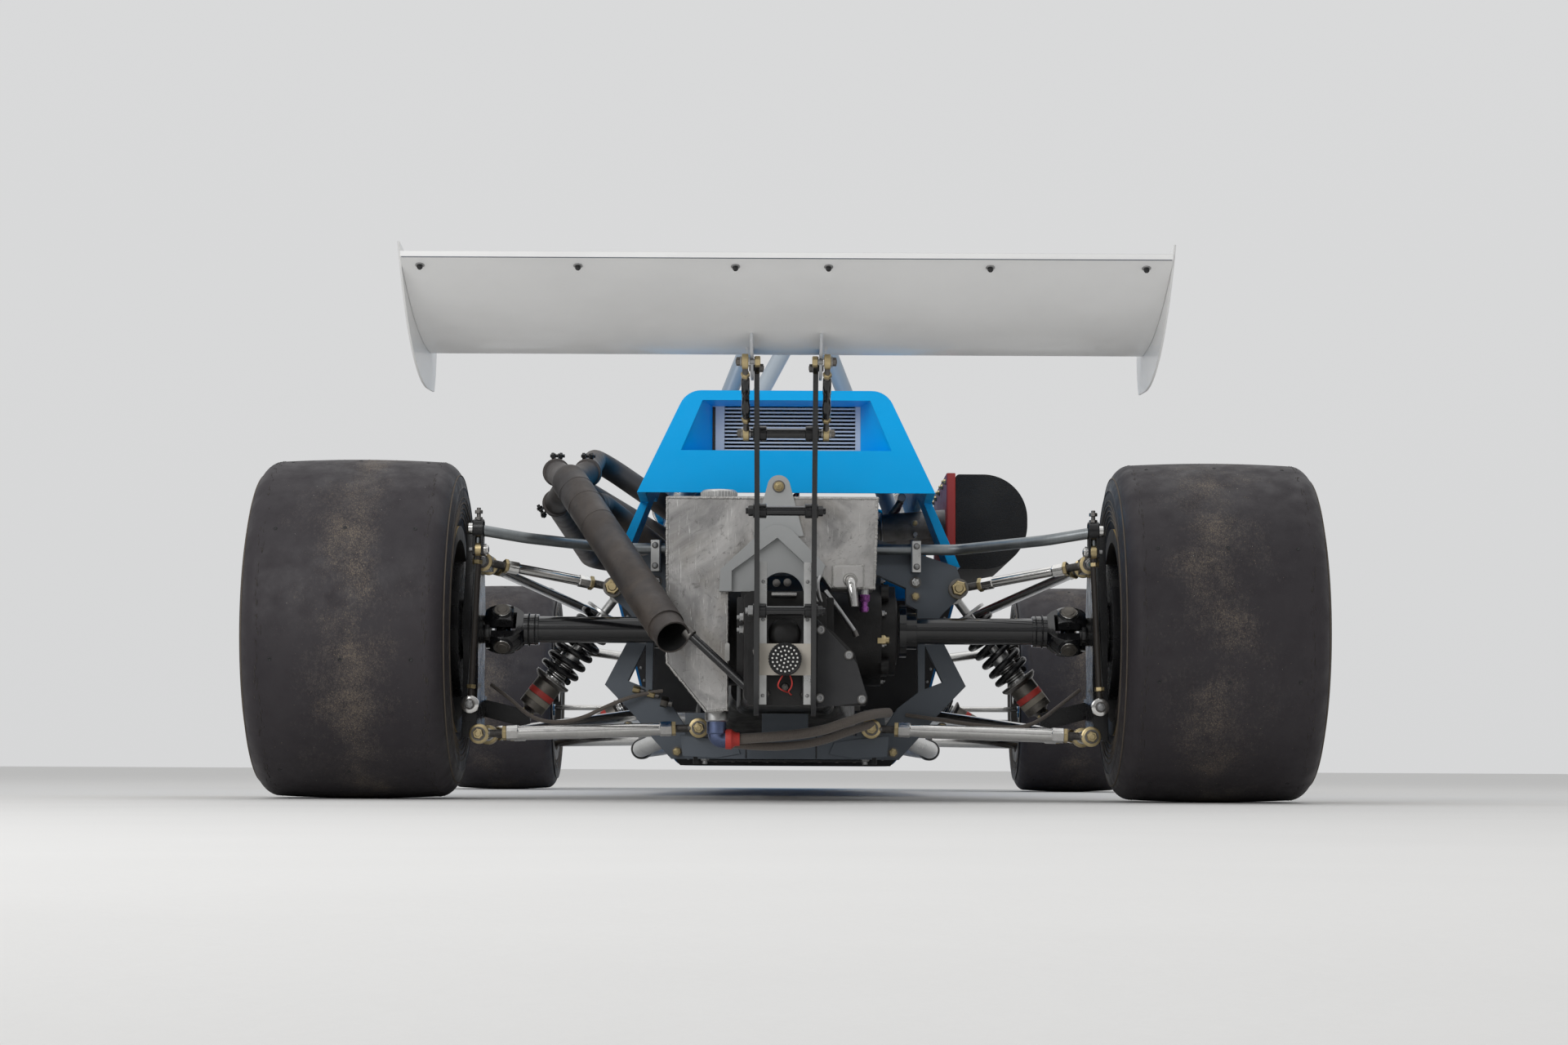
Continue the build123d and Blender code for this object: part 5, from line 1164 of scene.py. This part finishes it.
def exhaust_details():
    """Slip joint sleeves with sprung clamps, weld rings on the tailpipe and the nuts of the flanges."""
    made = Mesh()
    for x, z, turn in EXHAUST_RINGS:
        centre = at(x, 96, z)
        made.collar(centre + FORWARD * 12, REAR, 24.6, 23, 1.6, "burnt", 36)
        a = math.radians(turn)
        away = at(math.cos(a), 0, math.sin(a))
        turned = at(-away.z, 0, away.x)
        for step in (-3.5, 3.5):
            corners = ((-1.2, 23.5), (1.2, 23.5), (1.2, 34), (-1.2, 34))
            tab = [centre + turned * (step + dx) + away * dz - FORWARD * 6 for dx, dz in corners]
            made.slab(tab, FORWARD * 12, "black", 0.3)
        hub = centre + away * 30
        made.rod(hub - turned * 14, hub + turned * 12, 3, "black", 12)
        made.hexagon(hub + turned * 5, turned, 6, 5, "black")
        made.hexagon(hub - turned * 5, -turned, 6, 5, "black")
    start, end = TAILPIPE
    unit = (end - start).normalized()
    for share in (0.075, 0.17, 0.30):
        made.ring(start + (end - start) * share, unit, 30.4, 1.3, "burnt", 48, 8)
    made.lathe(end - unit * 158, unit, [(0, 25.8), (157, 25.8)], "soot", 40, caps=False)
    for forward in CYLINDERS:
        for dz in (-24, 24):
            made.bolt((-126.5, forward, 480 + dz), -RIGHT, 5, "zinc", "dull", stud=True)
    made.make("exhaust_clamps", "burnt_steel")


TAIL_FACE = -500


def gearbox_details():
    """Cover studs, ribs, a bearing cap, a strut and pipe unions on the tail of the gearbox."""
    made = Mesh()
    for side in (-1, 1):
        for away in spokes(10, 0.5):
            made.bolt(at(165 * side, 0, 295) + away * 87, RIGHT * side, 4.8, "steel", "dull", stud=True)
        made.lathe((190 * side, 0, 295), RIGHT * side, [(0, 60), (3, 58), (4, 50)], "case", 48)
    cover = [(50, 293), (101, 240), (114, 222), (131, 168), (124, 159), (50, 152)]
    made.slab([(x, TAIL_FACE, z) for x, z in cover], REAR * 5, "lid_and_shade", 1.2)
    socket = [(0, 5.8), (4, 5.8), (4.6, 5), (4.6, 3), (3, 2.8), (3, 0.2)]
    for x, z in ((56, 275), (101, 235), (122, 165), (55, 167)):
        made.drum((x, TAIL_FACE - 5, z), REAR, 7.5, 1.2, "dull", 24, 7.2)
        made.lathe((x, TAIL_FACE - 6, z), REAR, socket, "steel", 20)
    made.box((-22, -512.6, 329.5), (18, -511.6, 333.5), "plate", 0.3)
    made.lathe((-1, TAIL_FACE, 268), REAR, [(0, 26), (4, 25.5), (8, 22), (10, 16), (11, 2)], "case", 36)
    for x, z in ((-30, 174), (31, 172), (0, 184), (-46, 240), (30, 250)):
        made.bolt((x, TAIL_FACE, z), REAR, 5.5, "dull", "case")
    for z in (296, 276):
        made.bolt((-66, -470, z), -RIGHT, 6.2, "steel", "dull", stud=True)
    made.rod((-154, -440, 270), (-62, -470, 185), 7, "black", 20)
    made.rod((-160, -440, 276), (-150, -443, 266), 10.5, "dull", 20)
    unions = ((-262, 56, 194, 6.5, "zinc"), (-236, 56, 186, 7, "zinc"), (-212, 40, 172, 10, "can"))
    for x, forward, z, size, kind in unions:
        made.hexagon((x - 6, forward, z), (1, 0, -0.25), size, 13, kind)
        made.drum((x + 6, forward, z - 3), (1, 0, -0.25), size * 0.62, 8, "dull", 16)
    for turn in (0, 1):
        x = 7 * turn
        loop = [(48 + x, -470, 362), (45 + x, -482, 352), (46 + x, -486, 338), (50 + x, -480, 324),
                (56 + 6 * turn, -470, 318)]
        made.tube(smooth_route(loop, 6), 2.6, "steel", 10)
    made.tube([at(66, -320, 347), at(84, -330, 322), at(113, -330, 281)], 4, "steel", 16)
    made.drum((113, -330, 281), (0.4, 0, -0.9), 4.8, 10, "dull", 16)
    made.hexagon((158, -88, 276), RIGHT, 8.5, 14, "zinc")
    made.lathe((172, -88, 276), RIGHT, [(0, 6.2), (6, 6.2), (7, 4)], "zinc", 18)
    for forward in (-440, -370):
        for low in (-78, 66):
            made.box((low, forward - 3, 200), (low + 12, forward + 3, 330), "case", 2)
    made.make("gearbox_details", "black_paint")


def filter_details():
    """The red backing plate and its nuts."""
    made = Mesh()
    (near, far), (low, high) = (326, 854), (423, 603)
    corners = ((near, low), (far, low), (far, high), (near, high))
    made.slab([(297, forward, z) for forward, z in corners], RIGHT * 16.5, "red", 2)
    for forward in (352, 465, 595, 725, 828):
        for z in (low + 14, high - 14):
            made.bolt((297, forward, z), -RIGHT, 4.5, "zinc", "dull", stud=True)
    made.make("filter_plate", "black_paint")


def throttle_details():
    """Linkage, injector rail and clips over the four throttle bodies."""
    made = Mesh()
    made.rod((215, 360, 560), (215, 830, 560), 7.5, "alloy", 18)
    for forward in CYLINDERS:
        made.rod((215, forward, 556), (196, forward, 530), 6.2, "dull", 14)
        made.ring((178, forward, 505), (1, 0, 0.05), 26.8, 2.4, "steel", 28, 8)
        made.drum((240, forward - 30, 512), FORWARD, 4, 60, "steel", 12)
        made.bolt((240, forward - 32, 512), REAR, 5, "zinc")
    made.rod((240, 350, 490), (240, 850, 490), 4.5, "steel", 12)
    made.make("throttle_linkage", "cast_alloy")


def engine_details():
    """Cam cover ribs, plug leads, core plugs, sump bolts, and the starter and filter at its sides."""
    made = Mesh()
    for x in (-66, 66):
        for forward in range(370, 850, 24):
            made.brick(at(x, forward, 540), (30, 2, 2), "cast", 1)
        for forward in (352, 480, 600, 720, 846):
            for dx in (38, -38):
                made.bolt((x + dx, forward, 520), UP, 4, "steel")
    for forward in (410, 535, 660, 785):
        route = [(0, forward, 500), (0, forward, 545), (18, forward - 30, 566), (20, 350, 560),
                 (10, 320, 520)]
        made.tube(smooth_route(route, 8), 3.8, "hose_red", 10)
        made.lathe((0, forward, 498), UP, [(0, 10), (22, 9), (26, 5)], "rubber", 16)
    for forward in (430, 560, 690, 800):
        for side in (-1, 1):
            made.lathe((112 * side, forward, 250), RIGHT * side, [(0, 20), (2, 19), (0.5, 15)], "steel", 28)
            made.brick(at(111 * side, forward + 43, 245), (1, 3, 115), "cast", 0.8)
    for forward in range(370, 840, 52):
        for side in (-1, 1):
            made.bolt((104 * side, forward, 91), DOWN, 4, "steel")
    made.lathe((-150, 830, 300), FORWARD, [(0, 45), (30, 45), (34, 30)], "cast", 32)
    made.lathe((-114, 640, 150), -RIGHT, [(0, 40), (50, 40), (56, 36), (60, 20)], "black", 36)
    made.make("engine_details", "cast_alloy")


# Body

# Place along the tub, half width at its knee and at its shoulder, how far the floor's edge tucks in
# from the knee, and the heights of floor and deck
TUB_PLAN = [(900, 268, 344, 54, 60, 400), (1300, 266, 340, 54, 60, 400), (1700, 260, 304, 50, 60, 390),
            (2600, 172, 172, 30, 75, 335)]
TAPER_FROM = 1700


def tub_half(forward, z=None):
    """Half the tub's width at a place along it, at its shoulder or at a given height on its flank."""
    forward = min(max(forward, TUB_PLAN[0][0]), TUB_PLAN[-1][0])
    for (f0, *rear), (f1, *front) in zip(TUB_PLAN, TUB_PLAN[1:]):
        if forward <= f1:
            here = (a + (b - a) * (forward - f0) / (f1 - f0) for a, b in zip(rear, front))
            knee, shoulder, tuck, floor, deck = here
            knee_z = floor + 1.12 * tuck
            if z is None:
                return shoulder
            if z < knee_z:
                return knee - tuck + (z - floor) / 1.12
            return knee + (shoulder - knee) * (z - knee_z) / (deck - knee_z)


def cover_fasteners():
    """Flush quarter turn fasteners along the cover and surround, and rivets along the tub."""
    made = Mesh()
    for side in (-1, 1):
        out = (side, 0, -0.2)
        for forward in range(1060, 2501, 240):
            z = 388 - max(0, forward - TAPER_FROM) * 0.062
            place = (tub_half(forward, z) * side, forward, z)
            made.lathe(place, out, [(-4, 9), (1.2, 8.8), (2, 6.5)], "steel", 20)
        for forward in range(925, 2388, 34):
            for z in (140, 352 - max(0, forward - TAPER_FROM) * 0.05):
                made.drum(((tub_half(forward, z) - 0.4) * side, forward, z), out, 2.6, 1, "tub", 10, 1.8)
    made.make("body_fasteners", "bare_steel")


BULKHEAD_FACE = 898.2


def bulkhead_shade_sheet():
    """A dark riveted sheet over the tub's rear bulkhead, painted as the engine bay's shade."""
    made = Mesh()
    outline = [(-212, 60.3), (-264, 121), (-337, 395), (337, 395), (264, 121), (212, 60.3)]
    # Painted shade: this black sheet darkens the bulkhead the way the engine bay's shadow does.
    made.slab([(x, BULKHEAD_FACE, z) for x, z in outline], FORWARD * 1.5, "lid_and_shade", 0.0)
    rivets = [((258 + 7 * i) * side, 128 + 25.8 * i) for side in (-1, 1) for i in range(11)]
    for x, z in rivets + [(-196 + i * 28, 74) for i in range(15)]:
        made.drum((x, BULKHEAD_FACE, z), REAR, 3, 1.2, "steel", 12, 2)
    made.make("bulkhead_shade_sheet", "black_paint")


DASH = 1640


def cockpit_trim():
    """Three dials and a row of switches on the dash."""
    made = Mesh()
    for x, z, r in ((-70, 519, 26), (0, 526, 34), (72, 519, 26)):
        centre = at(x, DASH, z)
        made.lathe(centre, REAR, [(0, r), (12, r), (14, r - 2), (10, r - 4)], "black", 36)
        made.drum(centre + REAR * 8.5, REAR, r - 4, 0.6, "dial", 32, r - 4.5)
        made.box(centre + at(-1, -10.2, -2), centre + at(1, -9.5, r - 9), "hose_red", 0.0)
    for x in (-150, -125, 125, 150):
        made.drum((x, DASH, 480), REAR, 8, 4, "steel", 16, 7)
        made.rod((x, DASH - 3, 480), (x, DASH - 18, 486), 2.6, "plate", 10)
    made.make("cockpit_trim", "black_plastic")


def strap(made, points, steps, width, across=RIGHT):
    """A flat strap on a smooth route through points."""
    rings = []
    for point, forward in headings(smooth_route(points, steps)):
        side = (across - forward * across.dot(forward)).normalized() * width / 2
        up = forward.cross(side).normalized() * 1.1
        rings.append([point - side - up, point + side - up, point + side + up, point - side + up])
    made.loops(rings, "belt")


def harness():
    """Shoulder, lap and crotch straps lying on the seat, meeting at a round buckle."""
    made = Mesh()
    buckle = at(0, 1262, 170)
    for side in (-1, 1):
        shoulder = ((70, 975, 574), (72, 1010, 545), (62, 1100, 392), (44, 1190, 240), (14, 1250, 178))
        strap(made, [mirrored(p, side) for p in shoulder], 6, 45)
        lap = ((150, 1235, 150), (110, 1248, 156), (60, 1258, 166), (16, 1262, 170))
        strap(made, [mirrored(p, side) for p in lap], 6, 45, at(0, 0.3, 1))
    strap(made, [(0, 1340, 138), (0, 1310, 146), (0, 1275, 162)], 5, 40)
    made.lathe(buckle, (0, 0.75, 0.66), [(-4, 24), (0, 27), (10, 26), (14, 20), (16, 10)], "plate", 40)
    made.box(buckle + at(-12, 6, 8), buckle + at(12, 14, 14), "red", 2)
    made.make("harness", "black_plastic")


WHEEL_CENTRE, COLUMN_FOOT = at(0, 1530, 470), at(0, 2522, 222)


def wheel_trim():
    """Spoke holes, hub screws and stitching on the steering wheel."""
    made = Mesh()
    column = (COLUMN_FOOT - WHEEL_CENTRE).normalized()
    up = at(0, -column.z, column.y)
    for away in spokes(6, 0.0, RIGHT, up):
        made.bolt(WHEEL_CENTRE - column * 10 + away * 19, -column, 3, "steel")
    for direction in (RIGHT, -RIGHT, -up):
        for reach in (45, 62, 79):
            made.drum(WHEEL_CENTRE - column * 3 + direction * reach, -column, 5.5, 0.6, "black", 18, 5)
    for away in spokes(60, 0.0, RIGHT, up):
        spot = WHEEL_CENTRE + away * 106.5
        made.rod(spot - column * 3, spot + column * 3, 0.7, "dial", 6)
    made.make("steering_wheel_trim", "wheel_rim_cover", "steering_column")


def mirror_glass():
    """The glass in each mirror and its chrome bezel."""
    made = Mesh()
    for side in (-1, 1):
        face = at(262 * side, 1610, 636)
        made.lathe(face, REAR, [(-4, 41.5), (1.5, 41), (2.2, 38.5), (0.6, 37.5)], "plate", 48)
        made.lathe(face, REAR, [(0, 37.5), (0.8, 37), (1, 0.2)], "mirror", 48)
    made.make("mirror_glass", "black_plastic")


def radiator_core():
    """Rows of fins on both faces of the water radiator."""
    made = Mesh()
    for face in (2739.6, 2780.4):
        for z in range(92, 262, 5):
            half = 116 - max(0, z - 200) * 0.1
            made.box((-half, face - 0.6, z), (half, face + 0.6, z + 2.2), "alloy", 0.0)
    made.make("radiator_fins", "bare_aluminium")


def pipe_hoses():
    """Rubber joints with worm clips where the water pipes meet the engine and tub."""
    made = Mesh()
    for side in (-1, 1):
        a, b = at(291 * side, 890, 93), at(291 * side, 960, 93.4)
        made.rod(a, b, 20, "rubber", 28)
        for share in (0.16, 0.84):
            spot = a + (b - a) * share
            made.collar(spot + REAR * 5, FORWARD, 21.2, 10, 0.6, "steel", 32)
            made.rod(spot + at(-6, 0, 22.5), spot + at(6, 0, 22.5), 3.5, "steel", 12)
        made.rod((118 * side, 800, 150), (170 * side, 800, 150), 20.5, "rubber", 28)
        for x in (121, 155):
            made.collar((x * side, 800, 150), RIGHT * side, 21.6, 10, 0.6, "steel", 32)
    made.make("pipe_hoses", "bare_aluminium")


# Hoses, each a smooth curve held at both ends: its points, diameter and material
HOSES = {
    "brake_hose_rear_right": ([(212, 58, 150), (262, 48, 143), (330, 30, 133), (398, 10, 126), (440, 20, 136),
                               (486, 60, 170), (520, 75, 196)], 7, "braid"),
    "brake_hose_rear_left": ([(-216, 58, 190), (-262, 48, 184), (-318, 34, 160), (-356, 20, 140),
                              (-404, 6, 132), (-446, 20, 142), (-486, 44, 178), (-518, 60, 200)], 7, "braid"),
    "lamp_wire_left": ([(-4, -538, 201), (-9, -540, 193), (-12, -536, 184), (-4, -526, 178), (4, -506, 176)],
                       2.4, "hose_red"),
    "lamp_wire_right": ([(8, -538, 201), (12, -540, 192), (10, -536, 182), (4, -524, 176), (10, -506, 172)],
                        2.4, "hose_red"),
    "oil_hose": ([(-88, -196, 104), (-50, -196, 106), (0, -190, 110), (60, -176, 118), (110, -150, 136),
                  (150, -110, 150), (178, -60, 152)], 17, "braid"),
    "oil_hose_low": ([(-88, -170, 96), (-50, -168, 92), (0, -160, 92), (60, -150, 100), (112, -120, 120),
                      (150, -90, 132)], 14, "braid"),
}


def hose(name, points, diameter, kind):
    """A flexible line along points given in millimetres."""
    curve = bpy.data.curves.new(name, "CURVE")
    curve.dimensions = "3D"
    # The points carry the radius, because the object's box is measured with theirs
    curve.bevel_depth = 1.0
    curve.bevel_resolution = 4
    curve.resolution_u = 10
    spline = curve.splines.new("NURBS")
    spline.points.add(len(points) - 1)
    for mark, point in zip(spline.points, points):
        mark.co = (*metres(*point), 1)
        mark.radius = diameter * MM / 2
    spline.order_u = 3
    spline.use_endpoint_u = True
    curve.use_fill_caps = True
    curve.materials.append(M[kind])
    made = bpy.data.objects.new(name, curve)
    bpy.context.scene.collection.objects.link(made)
    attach(made, "chassis")
    return made


def spline_length(piece):
    """The real length of a hose's centreline."""
    depth = piece.data.bevel_depth
    piece.data.bevel_depth = 0
    bpy.context.view_layer.update()
    line = bpy.data.meshes.new_from_object(piece)
    piece.data.bevel_depth = depth
    ends = [[line.vertices[i].co for i in edge.vertices] for edge in line.edges]
    total = sum((a - b).length for a, b in ends)
    bpy.data.meshes.remove(line)
    return total


def hoses():
    """Every flexible line that hangs between two fixed ends, and the elbow of the oil hoses."""
    elbow = Mesh()
    elbow.rod((-115, -200, 136), (-115, -200, 112), 16.5, "elbow", 32)
    bend = [(-115, -200, 116), (-113, -200, 108), (-106, -199, 104), (-94, -198, 104)]
    elbow.tube(smooth_route(bend, 6), 15, "elbow", 28)
    red_union = [(0, 16.5), (2, 17.2), (10, 17.2), (12, 15), (16, 12), (24, 11)]
    elbow.lathe((-100, -198, 104), (1, 0.02, 0), red_union, "hose_red", 32)
    elbow.make("oil_elbow", "bare_aluminium")
    for name, (points, diameter, kind) in HOSES.items():
        made = hose(name, points, diameter, kind)
        spline_length(made)


# Stage, light and camera

# Place in metres, size and power of each lamp
LAMPS = {"key": ((-2.5, -5.5, 2.8), 3.0, 110), "top": ((0.5, 0.5, 5.0), 5.0, 34)}
LAMP_AIM = Vector((0, -0.6, 0.3))
# How light the sky is from below to above, where its height leans a little to the front
SKY = ((0.0, 0.30), (0.333, 0.62), (0.50, 0.92), (1.0, 1.0))
SKY_LEAN = 0.26
SKY_STRENGTH = 0.74


def build_stage():
    """A pale floor, soft light from above and a plain pale background."""
    bpy.ops.mesh.primitive_plane_add(size=120, location=(0, 0, 0))
    floor = bpy.context.object
    floor.name = "floor"
    s = Surface("floor_pale", (0.70, 0.695, 0.685), 0.9)
    s.mottle(s.noise(3, 6), 0.3, 0.8, 0.5, (0.66, 0.655, 0.645))
    s.bump(s.noise(60, 6), 0.002, 0.3)
    floor.data.materials.append(s.material)
    world = bpy.data.worlds.new("studio")
    bpy.context.scene.world = world
    world.use_nodes = True
    nodes, wires = world.node_tree.nodes, world.node_tree.links
    split = nodes.new("ShaderNodeSeparateXYZ")
    wires.new(nodes.new("ShaderNodeTexCoord").outputs["Generated"], split.inputs["Vector"])
    lean, height = nodes.new("ShaderNodeMath"), nodes.new("ShaderNodeMath")
    for node, axis, factor in ((lean, "Y", SKY_LEAN), (height, "Z", 1 - SKY_LEAN)):
        node.operation = "MULTIPLY_ADD"
        wires.new(split.outputs[axis], node.inputs[0])
        node.inputs[1].default_value = factor
    lean.inputs[2].default_value = SKY_LEAN
    wires.new(lean.outputs["Value"], height.inputs[2])
    ramp = nodes.new("ShaderNodeValToRGB")
    marks = ramp.color_ramp.elements
    while len(marks) < len(SKY):
        marks.new(0.5)
    for mark, (where, level) in zip(marks, SKY):
        mark.position = where
        mark.color = (level * 0.99, level * 0.995, level, 1)
    wires.new(height.outputs["Value"], ramp.inputs["Fac"])
    wires.new(ramp.outputs["Color"], nodes["Background"].inputs["Color"])
    nodes["Background"].inputs["Strength"].default_value = SKY_STRENGTH
    for name, (place, size, power) in LAMPS.items():
        lamp = bpy.data.lights.new(name, "AREA")
        lamp.size = size
        lamp.energy = power
        holder = bpy.data.objects.new(name, lamp)
        holder.location = place
        holder.rotation_euler = (LAMP_AIM - Vector(place)).to_track_quat("-Z", "Y").to_euler()
        bpy.context.scene.collection.objects.link(holder)


PHOTO_WIDTH, PHOTO_HEIGHT = 1920, 1280
SENSOR_WIDTH = 36
FOCAL_PIXELS = 3916
HORIZON_PIXEL = 940
VANISHING_PIXEL = 966
CAMERA_PLACE = (5, -5580, 57)
ROLL_DEGREES = 0.28


def build_camera():
    """The photograph's view, from just above the ground behind the car."""
    data = bpy.data.cameras.new("camera")
    data.sensor_width = SENSOR_WIDTH
    data.lens = FOCAL_PIXELS / PHOTO_WIDTH * SENSOR_WIDTH
    data.clip_start, data.clip_end = 0.1, 200
    camera = bpy.data.objects.new("camera", data)
    camera.location = metres(*CAMERA_PLACE)
    pitch = math.atan((HORIZON_PIXEL - PHOTO_HEIGHT / 2) / FOCAL_PIXELS)
    yaw = math.atan((VANISHING_PIXEL - PHOTO_WIDTH / 2) / FOCAL_PIXELS)
    level = Quaternion((1, 0, 0), math.pi / 2 + pitch)
    turned = Quaternion((0, 0, 1), yaw) @ level @ Quaternion((0, 0, 1), math.radians(ROLL_DEGREES))
    camera.rotation_mode = "QUATERNION"
    camera.rotation_quaternion = turned
    bpy.context.scene.collection.objects.link(camera)
    bpy.context.scene.camera = camera


build_camera()
hoses()
for kind_name, node_names in KEPT.items():
    for node_name in node_names:
        finish_node(node_name, kind_name)
for side_name, side in SIDES:
    for end in ("front", "rear"):
        for build in (tyre, wheel_details, brake_disc, spring_and_damper, caliper_details):
            build(end, side_name, side)
    for build in (links, pivot_bolts, drop_link, joint_caps, front_bolts):
        build(side_name, side)
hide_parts("rear_links")
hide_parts("springs")
for build in (wing_skin, wing_adjusters, wing_screws, bulkhead_shade_sheet, cross_member_details,
              post_hardware, tank_details, bracket_details, rain_lamp, lamp_plate, oil_cooler,
              exhaust_details, gearbox_details, filter_details, throttle_details, engine_details,
              cover_fasteners, cockpit_trim, harness, wheel_trim, mirror_glass, radiator_core,
              pipe_hoses):
    build()
build_stage()
bpy.context.scene.view_settings.view_transform = "Standard"
